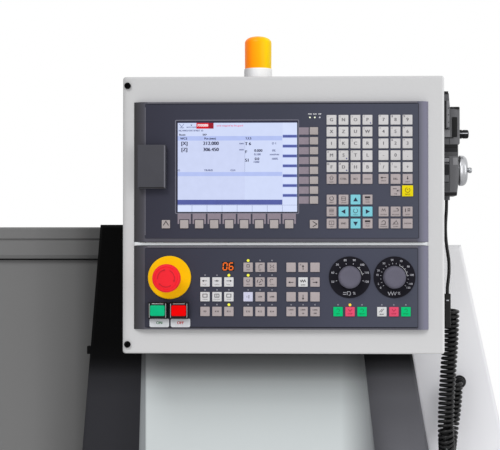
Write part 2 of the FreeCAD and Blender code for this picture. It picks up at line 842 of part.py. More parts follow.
def quill():
    """Sliding quill with the live centre at its front and a blind bore for the screw behind."""
    profile = [(0, 0), (centre_length * 0.45, centre_radius * 0.62), (centre_length * 0.5, centre_radius),
               (centre_length, centre_radius), (centre_length, quill_radius),
               (centre_length + quill_length, quill_radius)]
    body = turned(profile, (quill_left - centre_length, spindle_y, spindle_z), (1, 0, 0))
    socket = rod((quill_left + quill_length - quill_socket, spindle_y, spindle_z), (1, 0, 0),
                 tail_shaft_radius + running_gap, quill_socket + 1)
    return body.cut(socket)


def tailstock_handwheel():
    """Dished handwheel with its rim, hub, crank handle and the shaft that drives the quill."""
    x0 = barrel_right + seat_gap
    middle = x0 + tail_wheel_hub_length * 0.6
    rim_left, rim_right = middle - tail_wheel_rim, middle + tail_wheel_rim
    outer, inner = tail_wheel_radius + tail_wheel_rim, tail_wheel_radius - tail_wheel_rim
    round_off = tail_wheel_rim * 0.6
    wide = 2 * tail_wheel_rim
    rim = turned([(0, inner), (0, outer - round_off), (round_off, outer), (wide - round_off, outer),
                  (wide, outer - round_off), (wide, inner)],
                 (rim_left, spindle_y, spindle_z), (1, 0, 0))
    rim = rim.cut(rod((rim_left - 1, spindle_y, spindle_z), (1, 0, 0), inner, rim_right - rim_left + 2))
    web = tail_wheel_hub_length
    disc = turned([(0, tail_wheel_hub), (web * 0.35, tail_wheel_hub + 4),
                   (web * 0.42, tail_wheel_radius), (web * 0.72, tail_wheel_radius),
                   (web * 0.72, tail_wheel_hub + 8), (web, tail_wheel_hub)],
                  (x0, spindle_y, spindle_z), (1, 0, 0))
    shaft_left = quill_left + quill_length - tail_shaft_reach
    shaft = rod((shaft_left, spindle_y, spindle_z), (1, 0, 0), tail_shaft_radius, x0 + 2 - shaft_left)
    grip = turned([(0, tail_handle_radius * 0.6), (8, tail_handle_radius * 0.6), (16, tail_handle_radius),
                   (tail_handle_length - 4, tail_handle_radius * 0.85),
                   (tail_handle_length, tail_handle_radius * 0.5)],
                  (middle, spindle_y, spindle_z + tail_wheel_radius), (1, 0, 0))
    return disc.fuse(rim).fuse(shaft).fuse(grip)


# ---------------------------------------------------------------- guards and housings
def cover_left_at(z):
    """X of the headstock cover's leaning left wall at a height."""
    fall = (cover_top - z) / (cover_top - tray_top)
    return cover_left_top + (tray_left - cover_left_top) * fall


def headstock_cover():
    """Sheet cover over the headstock, open below, with the door's upper guide rail along its front."""
    right = headstock_right + cover_gap + cover_sheet
    outline = [(tray_left, tray_top), (right, tray_top), (right, cover_top), (cover_left_top, cover_top)]
    shell = prism_y(outline, tray_front, tray_back)
    t = cover_sheet
    inner = [(cover_left_at(tray_top - 1) + t, tray_top - 1), (right - t, tray_top - 1),
             (right - t, cover_top - t), (cover_left_at(cover_top - t) + t, cover_top - t)]
    shell = shell.cut(prism_y(inner, tray_front + t, tray_back - t))
    over_bed = block(right - 3 * t, right + 1, ballscrew_y - bracket_half - bed_hole_gap,
                     bed_back() + bed_hole_rear, tray_top - 1, bed_top + bed_hole_gap)
    nose_hole = rod((right - 3 * t, spindle_y, spindle_z), (1, 0, 0), spindle_nose + nose_hole_gap, 5 * t)
    bar_hole = block(tray_left, headstock_left, spindle_y - cover_hole, spindle_y + cover_hole,
                     spindle_z - cover_hole, spindle_z + cover_hole)
    shell = shell.cut(over_bed).cut(nose_hole).cut(bar_hole)
    rail = block(cover_left_top, pod_rear_x - seat_gap, tray_front - rail_depth, tray_front,
                 rail_z, rail_z + rail_height)
    return shell.fuse(rail).removeSplitter()


guard_left = headstock_right + cover_gap + cover_sheet + seat_gap


def rear_guard():
    """Sheet behind the work area, folded forward at the top."""
    y, t = rear_guard_y, guard_sheet
    top = end_cover_top - rear_guard_drop
    z0 = stand_top + tray_wall
    points = [(y, z0), (y + t, z0), (y + t, top - rear_guard_hood * 0.55), (y - rear_guard_hood, top),
              (y - rear_guard_hood, top - t * 1.3), (y, top - rear_guard_hood * 0.55 - t)]
    return prism_x(points, guard_left, tray_right - tray_wall - seat_gap)


def sliding_door():
    """Folded sheet door: a hood along the top, a band under it and the long set-back face."""
    y0, y1 = door_front, door_front + door_thickness
    z0 = ledge_top + seat_gap
    hood_z = door_top - door_hood
    band_z = door_top - door_band
    points = [(y0 + 3, door_top), (y1, door_top), (y1, z0), (y0 + door_fold, z0),
              (y0 + door_fold, band_z), (y0 + door_fold * 0.4, band_z),
              (y0, band_z + 6), (y0, hood_z - door_groove), (y0 + door_groove, hood_z),
              (y0, hood_z + door_groove), (y0, door_top - 3)]
    return prism_x(points, door_left, door_right)


def door_handle():
    """Bar handle on two posts."""
    y = door_front - handle_reach
    z0 = handle_z - handle_length / 2
    bar = rod((handle_x, y, z0), (0, 0, 1), handle_radius, handle_length)
    face = door_front + door_fold
    posts = [rod((handle_x, y, z), (0, 1, 0), handle_radius * 0.8, face - y)
             for z in (z0 + 30, z0 + handle_length - 30)]
    return bar.fuse(posts[0]).fuse(posts[1])


def pod_left_at(z):
    return pod_left_top - (pod_top - z) * pod_left_slope


def pod_right_at(z):
    return pod_right_top + (pod_top - z) * pod_right_slope


pod_door_face = pod_front + pod_depth


def console_pod():
    """Dark housing that widens downwards: it stands before the door and closes the guard beside it."""
    outline = [(pod_left_at(pod_bottom), pod_bottom), (pod_right_at(pod_bottom), pod_bottom),
               (pod_right_at(pod_top), pod_top), (pod_left_at(pod_top), pod_top)]
    front = prism_y(outline, pod_front, pod_door_face)
    front = bevelled(front, pod_edge, edges_at_y(front, pod_front))
    rear = prism_y([(pod_rear_x, pod_bottom), (pod_right_at(pod_bottom), pod_bottom),
                    (pod_right_at(pod_top), pod_top), (pod_rear_x, pod_top)], pod_door_face, tray_front)
    return front.fuse(rear).removeSplitter()


def console_column():
    """Front housing that rises to the operator box, with the plate that holds the box from behind."""
    def left(z):
        return column_left_top - (column_top - z) * column_left_slope

    def right(z):
        return column_right_top + (column_top - z) * column_right_slope
    outline = [(left(column_bottom), column_bottom), (right(column_bottom), column_bottom),
               (right(column_top), column_top), (left(column_top), column_top)]
    body = prism_y(outline, column_front, pod_front)
    body = rounded(body, column_edge, edges_at_y(body, column_front))
    back = box_y + plate_return + tub_depth
    arm = block(box_x - column_arm_width / 2, box_x + column_arm_width / 2, back, pod_front,
                column_top - column_arm_foot, column_arm_top)
    return body.fuse(arm).removeSplitter()


def right_end_cover():
    """End housing of the machine: its right edge leans outwards going down."""
    z0, z1 = end_cover_bottom, end_cover_top
    low, high = end_cover_right_bottom, end_cover_right_top
    bend = z1 - (low - high) / end_cover_slope
    edge = [(low, z0), (low, bend), (high, z1)]
    front = prism_y([(pod_right_at(z0) + seat_gap, z0)] + edge + [(pod_right_at(z1) + seat_gap, z1)],
                    end_cover_front, tray_front)
    side = prism_y([(tray_right, z0)] + edge + [(tray_right, z1)], tray_front, tray_back)
    body = front.fuse(side).removeSplitter()
    return rounded(body, end_cover_edge, [e for e in edges_at_y(body, end_cover_front)
                                          if e.BoundBox.XMax > high - 3.0])


def electric_cabinet():
    """Cabinet on the back of the machine with a door seam and a field of vent slots."""
    x0, x1 = cabinet_left, cabinet_left + cabinet_length
    y1 = tray_back + cabinet_depth
    body = block(x0, x1, tray_back, y1, cabinet_bottom, cabinet_top)
    body = rounded(body, cabinet_edge, [e for e in along(body, (0, 0, 1)) if e.BoundBox.YMin > y1 - 1])
    middle = (x0 + x1) / 2
    body = body.cut(block(middle - cabinet_seam / 2, middle + cabinet_seam / 2, y1 - 4, y1 + 1,
                          cabinet_bottom + cabinet_seam_inset, cabinet_top - cabinet_seam_inset))
    for side in (-1, 1):
        x = middle + side * cabinet_length / 4
        for i in range(cabinet_vents):
            z = cabinet_top - cabinet_vent_top - i * cabinet_vent_pitch
            body = body.cut(block(x - cabinet_vent_length / 2, x + cabinet_vent_length / 2, y1 - 6, y1 + 1,
                                  z, z + cabinet_vent_height))
    return body


# ---------------------------------------------------------------- operator box
def box_block(x0, x1, y0, y1, z0, z1):
    """Box given in the operator box's own measures."""
    return block(box_x + x0, box_x + x1, box_y + y0, box_y + y1, box_z + z0, box_z + z1)


def unit_opening(height, z):
    """Cut-out in the front plate for the rear body of a unit."""
    half = unit_width / 2 - unit_body_inset + slide_gap
    tall = height / 2 - unit_body_inset + slide_gap
    return box_block(unit_shift - half, unit_shift + half, -1, plate_sheet + 1, z - tall, z + tall)


def control_box_front():
    """Front plate with folded edges, cut out for the two units and drilled for two screws."""
    w, h = plate_width / 2, plate_height / 2
    plate = box_block(-w, w, 0, plate_return, -h, h)
    plate = rounded(plate, plate_corner, along(plate, (0, 1, 0)))
    plate = rounded(plate, plate_sheet * 0.9, edges_at_y(plate, box_y))
    t = plate_sheet
    plate = plate.cut(box_block(-w + t, w - t, t, plate_return + 1, -h + t, h - t))
    plate = plate.cut(unit_opening(screen_unit_height, screen_unit_z))
    plate = plate.cut(unit_opening(machine_unit_height, machine_unit_z))
    for z in screw_places():
        plate = plate.cut(rod(on_box(-w + screw_inset_x, -1, z), (0, 1, 0), screw_radius * 0.6 + 0.1, t + 2))
    return plate


def screw_places():
    h = plate_height / 2
    return (h - screw_inset_z, -h + screw_inset_z)


def control_box_shell():
    """Tub behind the front plate, open towards it."""
    w, h = tub_width / 2, tub_height / 2
    back = plate_return + tub_depth
    tub = box_block(-w, w, plate_sheet, back, -h, h)
    tub = rounded(tub, plate_corner, along(tub, (0, 1, 0)))
    t = tub_sheet
    return tub.cut(box_block(-w + t, w - t, plate_sheet - 1, back - t, -h + t, h - t))


def box_screws():
    """Two socket screws through the left edge of the front plate."""
    screws = []
    for z in screw_places():
        x = -plate_width / 2 + screw_inset_x
        head = rod(on_box(x, -screw_head, z), (0, 1, 0), screw_radius, screw_head)
        socket = rod(on_box(x, -screw_head - 1, z), (0, 1, 0), screw_radius * 0.5, screw_head)
        shank = rod(on_box(x, 0, z), (0, 1, 0), screw_radius * 0.6, plate_sheet + 6)
        screws.append(head.cut(socket).fuse(shank))
    return group(screws)


def side_arc(outer, run, side, z):
    """Three points of a unit's curved side: from the plate up to the front face, which it meets flush."""
    radius = (run ** 2 + unit_proud ** 2) / (2 * unit_proud)
    half_turn = math.asin(run / radius) / 2
    inner = outer + side * run
    middle = on_box(inner - side * radius * math.sin(half_turn),
                    -unit_proud + radius * (1 - math.cos(half_turn)), z)
    return [V(*on_box(outer, 0, z)), V(*middle), V(*on_box(inner, -unit_proud, z))]


def unit_body(height, z):
    """Front frame of a unit, with curved left and right sides, and its closed rear body."""
    half = unit_width / 2
    left, right = unit_shift - half, unit_shift + half
    low = z - height / 2
    left_side = side_arc(left, unit_side_left, 1, low)
    right_side = side_arc(right, unit_side_right, -1, low)
    edges = [Part.Arc(*left_side).toShape(),
             Part.LineSegment(left_side[2], right_side[2]).toShape(),
             Part.Arc(*right_side[::-1]).toShape(),
             Part.LineSegment(right_side[0], left_side[0]).toShape()]
    frame = Part.Face(Part.Wire(edges)).extrude(V(0, 0, height))
    inset = unit_body_inset
    body = box_block(left + inset, right - inset, 0, unit_body_depth, z - height / 2 + inset,
                     z + height / 2 - inset)
    return frame.fuse(body)


def display_glass():
    """Screen pane in its recess."""
    w, h = display_width / 2, display_height / 2
    return box_block(display_x - w, display_x + w, -unit_proud + 0.5, -unit_proud + 0.5 + display_depth,
                     display_z - h, display_z + h)


hinge_x = usb_x - usb_width / 2 + usb_thickness / 2
hinge_y = -unit_proud - seat_gap - usb_thickness / 2
hinge_pin = 1.3
hinge_ear_radius = 3.0
hinge_ear_width = 4.0
hinge_ear_z = 22.0
hinge_pin_reach = 4.0


def screen_unit_bezel():
    """Screen unit: frame, recess for the pane and the two hinge ears of the port cover."""
    unit = unit_body(screen_unit_height, screen_unit_z)
    w = display_width / 2 + seat_gap
    h = display_height / 2 + seat_gap
    unit = unit.cut(box_block(display_x - w, display_x + w, -unit_proud - 1,
                              -unit_proud + 0.5 + display_depth, display_z - h, display_z + h))
    seat = box_block(usb_x - usb_width / 2 + 1, usb_x + usb_width / 2 - 1, -unit_proud, -1,
                     usb_z - usb_height / 2 + 1, usb_z + usb_height / 2 - 1)
    unit = unit.fuse(seat)
    for side in (-1, 1):
        z = usb_z + side * hinge_ear_z
        ear = rod(on_box(hinge_x, hinge_y, z - hinge_ear_width / 2), (0, 0, 1), hinge_ear_radius,
                  hinge_ear_width)
        foot = box_block(hinge_x - hinge_ear_radius, hinge_x + hinge_ear_radius, hinge_y, -unit_proud,
                         z - hinge_ear_width / 2, z + hinge_ear_width / 2)
        pin = rod(on_box(hinge_x, hinge_y, z - hinge_ear_width / 2 - hinge_pin_reach), (0, 0, 1),
                  hinge_pin, hinge_ear_width + 2 * hinge_pin_reach)
        unit = unit.fuse(ear).fuse(foot).fuse(pin)
    return unit


def usb_cover():
    """Flap over the service ports, hinged along its rounded left edge."""
    r = usb_thickness / 2
    x1 = usb_x + usb_width / 2
    y0 = hinge_y - r
    z0 = usb_z - usb_height / 2
    flap = box_block(hinge_x, x1, y0, hinge_y + r, z0, z0 + usb_height)
    flap = rounded(flap, usb_edge, edges_at_y(flap, box_y + y0))
    flap = flap.fuse(rod(on_box(hinge_x, hinge_y, z0), (0, 0, 1), r, usb_height))
    for side in (-1, 1):
        z = usb_z + side * hinge_ear_z
        half = hinge_ear_width / 2 + slide_gap
        reach = hinge_ear_radius + 1.2
        slot = box_block(hinge_x - r - 1, hinge_x + reach, hinge_y - reach, hinge_y + r + 1,
                         z - half, z + half)
        bore = rod(on_box(hinge_x, hinge_y, z - half - hinge_pin_reach), (0, 0, 1),
                   hinge_pin + running_gap, 2 * (half + hinge_pin_reach))
        flap = flap.cut(slot).cut(bore)
    return flap


def key(x, z, width, height):
    """Short-stroke key with tapered sides, seated on the unit's front film."""
    taper = 0.5
    w, h = width / 2, height / 2
    x0, y0, z0 = on_box(x, -unit_proud - key_height, z)
    return Part.makeWedge(x0 - w + taper, y0, z0 - h + taper, z0 - h, x0 - w, x0 + w - taper,
                          y0 + key_height, z0 + h - taper, z0 + h, x0 + w)


def key_grid(xs, zs, width, height):
    """Keys at every crossing of the given columns and rows."""
    return [key(x, z, width, height) for x in xs for z in zs]


def columns(first, count):
    return [first + i * key_pitch for i in range(count)]


def rows(first, count, pitch):
    return [first - i * pitch for i in range(count)]


def character_keys():
    levels = rows(top_key_z, top_key_rows, top_key_pitch_z)
    keys = key_grid(columns(letter_key_x, 4), levels, key_size, key_size)
    keys += key_grid(columns(number_key_x, 3), levels, key_size, key_size)
    return group(keys)


def command_keys():
    """Row under the characters, the block at the right and the keys round the screen."""
    low = top_key_z - top_key_rows * top_key_pitch_z
    keys = key_grid(columns(letter_key_x, 4), [low], key_size, key_size)
    keys += key_grid(columns(number_key_x, 3), [low], key_size, key_size)
    keys += key_grid(columns(number_key_x, 2)[1:], [low - key_pitch], key_size, key_size)
    keys += key_grid(columns(number_key_x, 3), rows(cursor_key_z - key_pitch, 2, key_pitch),
                     key_size, key_size)
    bottom = [softkey_x + i * softkey_pitch for i in range(8)]
    keys += key_grid([recall_key_x] + bottom + [extend_key_x], [softkey_z], softkey_size, softkey_size)
    keys += key_grid([extend_key_x], rows(side_softkey_z, 8, side_softkey_pitch), softkey_size,
                     side_softkey_height)
    return group(keys)


def cursor_keys():
    return group(key_grid(columns(letter_key_x, 4), rows(cursor_key_z, 3, key_pitch), key_size, key_size))


def input_key():
    low = top_key_z - top_key_rows * top_key_pitch_z - key_pitch
    return key(number_key_x + 2 * key_pitch, low, input_key_size, input_key_size)


def machine_unit_bezel():
    """Machine control unit: frame drilled for the stop button and the two knob shafts."""
    unit = unit_body(machine_unit_height, machine_unit_z)
    hole = rod(on_box(stop_x, -unit_proud - 1, stop_z), (0, 1, 0), stop_neck_radius + seat_gap,
               unit_proud + 1 + shaft_depth)
    unit = unit.cut(hole)
    for x in (spindle_knob_x, feed_knob_x):
        unit = unit.cut(rod(on_box(x, -unit_proud - 1, knob_z), (0, 1, 0), knob_shaft + running_gap,
                            1 + shaft_depth))
    window = box_block(digit_x - digit_width / 2 - seat_gap, digit_x + digit_width / 2 + seat_gap,
                       -unit_proud - 1, -unit_proud + display_depth, digit_z - digit_height / 2 - seat_gap,
                       digit_z + digit_height / 2 + seat_gap)
    return unit.cut(window)


def tool_number_display():
    """Two-digit display pane in its window."""
    return box_block(digit_x - digit_width / 2, digit_x + digit_width / 2, -unit_proud - 0.2,
                     -unit_proud + display_depth, digit_z - digit_height / 2, digit_z + digit_height / 2)


machine_rows = rows(machine_key_z, 4, machine_key_pitch_z)


def machine_keys():
    size = machine_key_size
    keys = key_grid(columns(machine_keys_a, 3), machine_rows[1:], size, size)
    keys += key_grid(columns(machine_keys_b, 3), machine_rows, size, size)
    keys += key_grid(columns(machine_keys_c, 3), machine_rows, size, size)
    keys += key_grid(columns(feed_keys, 1), machine_rows[3:], size, size)
    return group(keys)


def start_keys():
    """The three green keys: spindle left and right, and feed start."""
    size = machine_key_size
    xs = [spindle_keys, spindle_keys + 2 * key_pitch, feed_keys + 2 * key_pitch]
    return group(key_grid(xs, machine_rows[3:], size, size))


def stop_keys():
    """The two red keys: spindle stop and feed stop."""
    size = machine_key_size
    xs = [spindle_keys + key_pitch, feed_keys + key_pitch]
    return group(key_grid(xs, machine_rows[3:], size, size))


def emergency_stop_plate():
    """Yellow plate with the collar that guides the stop button."""
    front = -unit_proud - stop_plate_height
    disc = turned([(0, stop_plate_radius), (stop_plate_height - 1, stop_plate_radius),
                   (stop_plate_height, stop_plate_radius - 1)],
                  on_box(stop_plate_x, -unit_proud, stop_plate_z), (0, -1, 0))
    body = disc.fuse(rod(on_box(stop_x, -unit_proud, stop_z), (0, -1, 0), stop_collar_radius,
                         stop_plate_height + stop_collar_height))
    bore = rod(on_box(stop_x, front - stop_collar_height - 1, stop_z), (0, 1, 0),
               stop_neck_radius + running_gap, stop_plate_height + stop_collar_height + 2)
    return body.cut(bore)


def emergency_stop_button():
    """Red mushroom head with a raised inner ring, on its neck."""
    start = -unit_proud - stop_plate_height - stop_collar_height - stop_travel - stop_head_gap
    neck_end = -unit_proud + 1.0
    r, high = stop_head_radius, stop_head_height
    head = turned([(0, r - 2), (3, r), (high - 5, r), (high - 2, r - 2), (high - 1, r - 4),
                   (high - 1.6, r - 5), (high, r - 6.5)],
                  on_box(stop_x, start, stop_z), (0, -1, 0))
    neck = rod(on_box(stop_x, start, stop_z), (0, 1, 0), stop_neck_radius, neck_end - start)
    return head.fuse(neck)


def power_places():
    return (power_on_x, power_off_x)


def push_button_frames():
    """Two rectangular frames for the power buttons."""
    frames = []
    w, h = power_frame_width / 2, power_frame_height / 2
    lw, lh = power_lens_width / 2 + slide_gap, power_lens_height / 2 + slide_gap
    front = -unit_proud - power_frame_proud
    for x in power_places():
        frame = box_block(x - w, x + w, front, -unit_proud,
                          power_z - h, power_z + h)
        frame = bevelled(frame, 1.2, edges_at_y(frame, box_y + front))
        frames.append(frame.cut(box_block(x - lw, x + lw, front - 1, -unit_proud + 1,
                                          power_z - lh, power_z + lh)))
    return group(frames)


def power_button(x):
    """Lens cap that slides in its frame."""
    w, h = power_lens_width / 2, power_lens_height / 2
    front = -unit_proud - power_frame_proud - power_lens_proud
    cap = box_block(x - w, x + w, front, front + power_lens_proud + power_lens_depth - power_travel - 0.6,
                    power_z - h, power_z + h)
    return rounded(cap, 1.4, edges_at_y(cap, box_y + front))


def override_scales():
    """Two dial discs under the override knobs."""
    discs = []
    for x in (spindle_knob_x, feed_knob_x):
        disc = rod(on_box(x, -unit_proud - scale_height, knob_z), (0, 1, 0), scale_radius, scale_height)
        discs.append(disc.cut(rod(on_box(x, -unit_proud - scale_height - 1, knob_z), (0, 1, 0),
                                  knob_shaft + seat_gap, scale_height + 2)))
    return group(discs)


def override_knob(x):
    """Knob with a rounded cap, a slight skirt and the shaft into the unit."""
    start = -unit_proud - scale_height - knob_lift
    cap = turned([(0, knob_radius), (2, knob_radius), (knob_height - 3, knob_radius - 0.9),
                  (knob_height - 1, knob_radius - 2), (knob_height, knob_radius - 4)],
                 on_box(x, start, knob_z), (0, -1, 0))
    reach = knob_lift + scale_height + shaft_depth - 2
    return cap.fuse(rod(on_box(x, start, knob_z), (0, 1, 0), knob_shaft, reach))


# ---------------------------------------------------------------- beacon
def beacon_base():
    start = on_box(beacon_x, beacon_y, tub_height / 2)
    height = plate_height / 2 - tub_height / 2 + beacon_rise
    return turned([(0, beacon_radius + beacon_step), (height - 4, beacon_radius + beacon_step),
                   (height, beacon_radius)], start, (0, 0, 1))


beacon_lens_z = plate_height / 2 + beacon_rise


def beacon_lens():
    r = beacon_radius
    return turned([(0, r), (beacon_lens_height - 10, r - 0.6), (beacon_lens_height - 4, r - 3),
                   (beacon_lens_height, r - 9)], on_box(beacon_x, beacon_y, beacon_lens_z), (0, 0, 1))


# ---------------------------------------------------------------- hand-held unit
holder_back_x = tub_width / 2
pendant_back_x = holder_back_x + holder_sheet + seat_gap


def pendant_prism(points, half):
    """Side outline (X, Z of the operator box) carried to both sides of the unit's middle."""
    moved = [(box_x + x, box_z + z) for x, z in points]
    return prism_y(moved, box_y + pendant_y - half, box_y + pendant_y + half)


def handwheel_holder():
    """Bracket on the box's side: back plate, shelf below and cap above the hand-held unit."""
    y0, y1 = pendant_y - holder_half, pendant_y + holder_half
    x0 = holder_back_x
    shelf_top = pendant_bottom - seat_gap
    cap_bottom = pendant_top + seat_gap
    plate = box_block(x0, x0 + holder_sheet, y0, y1, shelf_top - holder_sheet, cap_bottom + holder_sheet)
    shelf = box_block(x0, x0 + holder_shelf, y0, y1, shelf_top - holder_sheet, shelf_top)
    cap = box_block(x0, pendant_split_x - 1.4, y0, y1, cap_bottom, cap_bottom + holder_sheet)
    return plate.fuse(shelf).fuse(cap).removeSplitter()


def handwheel_unit_body():
    """Housing of the hand-held unit: slab behind, waisted grip and the two bearing faces."""
    x0 = pendant_back_x
    waist_top = pendant_upper_bottom
    grip = [(x0, pendant_bottom), (pendant_lower_x - 3, pendant_bottom),
            (pendant_lower_x, pendant_bottom + 24),
            (pendant_lower_x, pendant_lower_top), (pendant_waist_x, pendant_lower_top + 3),
            (pendant_waist_x, waist_top - 3), (pendant_face_x, waist_top),
            (pendant_face_x, pendant_upper_top), (x0 + 20, pendant_upper_top), (x0, pendant_upper_top)]
    slab = [(x0, pendant_slab_bottom), (pendant_split_x, pendant_slab_bottom),
            (pendant_split_x, pendant_slab_top), (pendant_split_x - pendant_slab_lean, pendant_top),
            (x0, pendant_top)]
    body = pendant_prism(grip, pendant_waist_half)
    hull = box_block(x0, pendant_face_x, pendant_y - pendant_waist_half, pendant_y + pendant_waist_half,
                     pendant_bottom, pendant_upper_top)
    outer = [e for e in along(hull, (0, 0, 1)) if e.BoundBox.XMin > box_x + x0 + 1]
    body = body.common(rounded(hull, pendant_edge, outer))
    body = body.fuse(pendant_prism(slab, pendant_half))
    for z, radius in ((selector_z, selector_shaft), (wheel_z, wheel_shaft)):
        body = body.cut(rod(on_box(pendant_face_x + 1, pendant_y, z), (-1, 0, 0), radius + running_gap,
                            1 + pendant_face_x - pendant_waist_x + shaft_depth))
    outlet = rod(on_box(cable_points[0][0], cable_points[0][1], pendant_bottom - 6), (0, 0, 1),
                 cord_radius * 1.9, 7)
    hollow = rod(on_box(cable_points[0][0], cable_points[0][1], pendant_bottom - 7), (0, 0, 1),
                 cord_radius + running_gap, 8)
    return body.fuse(outlet).cut(hollow)


def axis_selector_knob():
    start = on_box(pendant_face_x + seat_gap, pendant_y, selector_z)
    r = selector_radius
    knob = turned([(0, r), (selector_length * 0.35, r), (selector_length * 0.35, r - 0.8),
                   (selector_length * 0.5, r - 0.8), (selector_length * 0.5, r - 0.2),
                   (selector_length - 1.5, r - 0.2), (selector_length, r - 1.6)], start, (1, 0, 0))
    return knob.fuse(rod(start, (-1, 0, 0), selector_shaft, shaft_depth * 0.8))


def pulse_handwheel():
    """Waisted handwheel with its small crank pin on the side towards the operator."""
    start = on_box(pendant_lower_x + seat_gap, pendant_y, wheel_z)
    r, n = wheel_radius, wheel_neck
    wheel = turned([(0, r - 1), (1.2, r), (3.4, r), (wheel_length * 0.4, n), (wheel_length * 0.55, n),
                    (wheel_length * 0.72, r - 0.4), (wheel_length - 2.4, r - 0.6), (wheel_length, r - 3)],
                   start, (1, 0, 0))
    axle = rod(start, (-1, 0, 0), wheel_shaft, shaft_depth * 0.8)
    pin = rod(on_box(pendant_lower_x + seat_gap + wheel_length - 1, pendant_y - crank_offset, wheel_z),
              (1, 0, 0), crank_radius, crank_length + 1)
    return wheel.fuse(axle).fuse(pin)


# ---------------------------------------------------------------- cable and curly cord
def smooth_path(points):
    """Straight runs joined by tangent arcs; each arc is as large as its two runs allow."""
    knots = [V(*p) for p in points]
    edges = []
    radii = []
    start = knots[0]
    for before, here, after in zip(knots, knots[1:], knots[2:]):
        a = here - before
        b = after - here
        turn = a.getAngle(b)
        cut = 0.45 * min(a.Length, b.Length)
        radii.append(cut / math.tan(turn / 2))
        enter = here - a.normalize() * cut
        leave = here + b.normalize() * cut
        chord_mid = (enter + leave) * 0.5
        rise = (here - chord_mid) * (math.tan(turn / 4) / math.tan(turn / 2))
        edges.append(Part.LineSegment(start, enter).toShape())
        edges.append(Part.Arc(enter, chord_mid + rise, leave).toShape())
        start = leave
    edges.append(Part.LineSegment(start, knots[-1]).toShape())
    return Part.Wire(edges), radii


def swept(wire, start, direction, radius, sides=0):
    """Tube along a wire, round or with a few flat sides."""
    if sides:
        turn = FreeCAD.Rotation(V(0, 0, 1), direction)
        ring = [start + turn.multVec(V(radius * math.cos(2 * math.pi * i / sides),
                                       radius * math.sin(2 * math.pi * i / sides), 0))
                for i in range(sides + 1)]
        section = Part.makePolygon(ring)
    else:
        section = Part.Wire([Part.makeCircle(radius, start, direction)])
    return wire.makePipeShell([section], True, False)


def handwheel_cable():
    """Thin cable from the hand-held unit down into the sleeve."""
    points = [on_box(*p) for p in cable_points]
    wire, radii = smooth_path(points)
    print("cable radii mm:", [round(r, 1) for r in radii])
    tube = swept(wire, V(*points[0]), V(*points[1]) - V(*points[0]), cord_radius)
    area = math.pi * cord_radius ** 2
    print("cable volume / section times length:", round(tube.Volume / (area * wire.Length), 4))
    return tube


def cable_sleeve():
    """Rigid sleeve where the thin cable turns into the curly cord."""
    body = box_block(sleeve_x - sleeve_half_x, sleeve_x + sleeve_half_x, sleeve_y - sleeve_half_y,
                     sleeve_y + sleeve_half_y, sleeve_bottom, sleeve_top)
    return rounded(body, sleeve_edge, along(body, (0, 0, 1)))


coil_helix = coil_radius - cord_radius


def eased(share):
    """Share of a move from 0 to 1, slow at both ends."""
    share = min(max(share, 0.0), 1.0)
    return share * share * (3 - 2 * share)


def coil_axis(s):
    """Point of the curls' centre line at a distance from its top: down, round a loop and up again."""
    drop = coil_top - coil_turn_z
    arc = math.pi * coil_loop
    if s < drop:
        y, z = coil_y, coil_top - s
    elif s < drop + arc:
        angle = (s - drop) / coil_loop
        y = coil_y + coil_loop * (1 - math.cos(angle))
        z = coil_turn_z - coil_loop * math.sin(angle)
    else:
        y, z = coil_y + 2 * coil_loop, coil_turn_z + s - drop - arc
    down = eased(s / drop)
    back = eased((s - drop) / (coil_length() - drop))
    return V(*on_box(coil_x - coil_lean * down + (coil_lean + coil_swing) * back, y, z))


def coil_length():
    return (coil_top - coil_turn_z) + math.pi * coil_loop + (coil_back_top - coil_turn_z)


def coil_turns():
    """Whole number of half turns that the pitch allows."""
    loop = math.pi * coil_loop
    turns = (coil_length() - loop) / coil_pitch + loop / coil_loop_pitch
    return math.floor(turns) + 0.5


def coil_angle(s):
    """Turn angle of the wire at a distance along the centre line: more open round the loop."""
    drop = coil_top - coil_turn_z
    loop = math.pi * coil_loop
    tight = min(s, drop) + max(s - drop - loop, 0.0)
    wide = min(max(s - drop, 0.0), loop)
    whole = (coil_length() - loop) / coil_pitch + loop / coil_loop_pitch
    share = (tight / coil_pitch + wide / coil_loop_pitch) / whole
    return math.pi + 2 * math.pi * coil_turns() * share


def coil_point(s):
    """Point of the curled wire, at its radius round the centre line."""
    step = 0.05
    tangent = (coil_axis(s + step) - coil_axis(s - step)).normalize()
    side = V(1, 0, 0) - tangent * tangent.x
    side.normalize()
    other = tangent.cross(side)
    angle = coil_angle(s)
    return coil_axis(s) + side * (coil_helix * math.cos(angle)) + other * (coil_helix * math.sin(angle))


def biarc(p0, t0, p1, t1):
    """Two tangent arcs from one point and direction to another."""
    gap = p1 - p0
    both = t0 + t1
    a = 4 - both.dot(both)
    b = 2 * gap.dot(both)
    c = -gap.dot(gap)
    reach = (-b + math.sqrt(b * b - 4 * a * c)) / (2 * a)
    first, second = p0 + t0 * reach, p1 - t1 * reach
    joint = (first + second) * 0.5
    return [tangent_arc(p0, first, joint), tangent_arc(joint, second, p1)]


def tangent_arc(start, corner, end):
    """Arc that touches both legs of a corner at equal distances."""
    middle = (start + end) * 0.5
    turn = (corner - start).getAngle(end - corner)
    rise = (corner - middle) * (math.tan(turn / 4) / math.tan(turn / 2))
    return Part.Arc(start, middle + rise, end).toShape()


def coil_places():
    """Distances along the centre line that lie a quarter turn of the wire apart."""
    count = int(round(coil_turns() * 4))
    places = []
    for i in range(count + 1):
        target = math.pi + math.pi / 2 * i
        low, high = 0.0, coil_length()
        for _ in range(40):
            middle = (low + high) / 2
            if coil_angle(middle) < target:
                low = middle
            else:
                high = middle
        places.append((low + high) / 2)
    return places


def least_gap(points, per_turn):
    """Least distance between the wire's surfaces on turns that are not the same one."""
    least = 1e9
    for i, p in enumerate(points):
        for q in points[i + int(per_turn * 0.6): i + int(per_turn * 1.5)]:
            least = min(least, p.distanceToPoint(q))
    return least - 2 * cord_radius


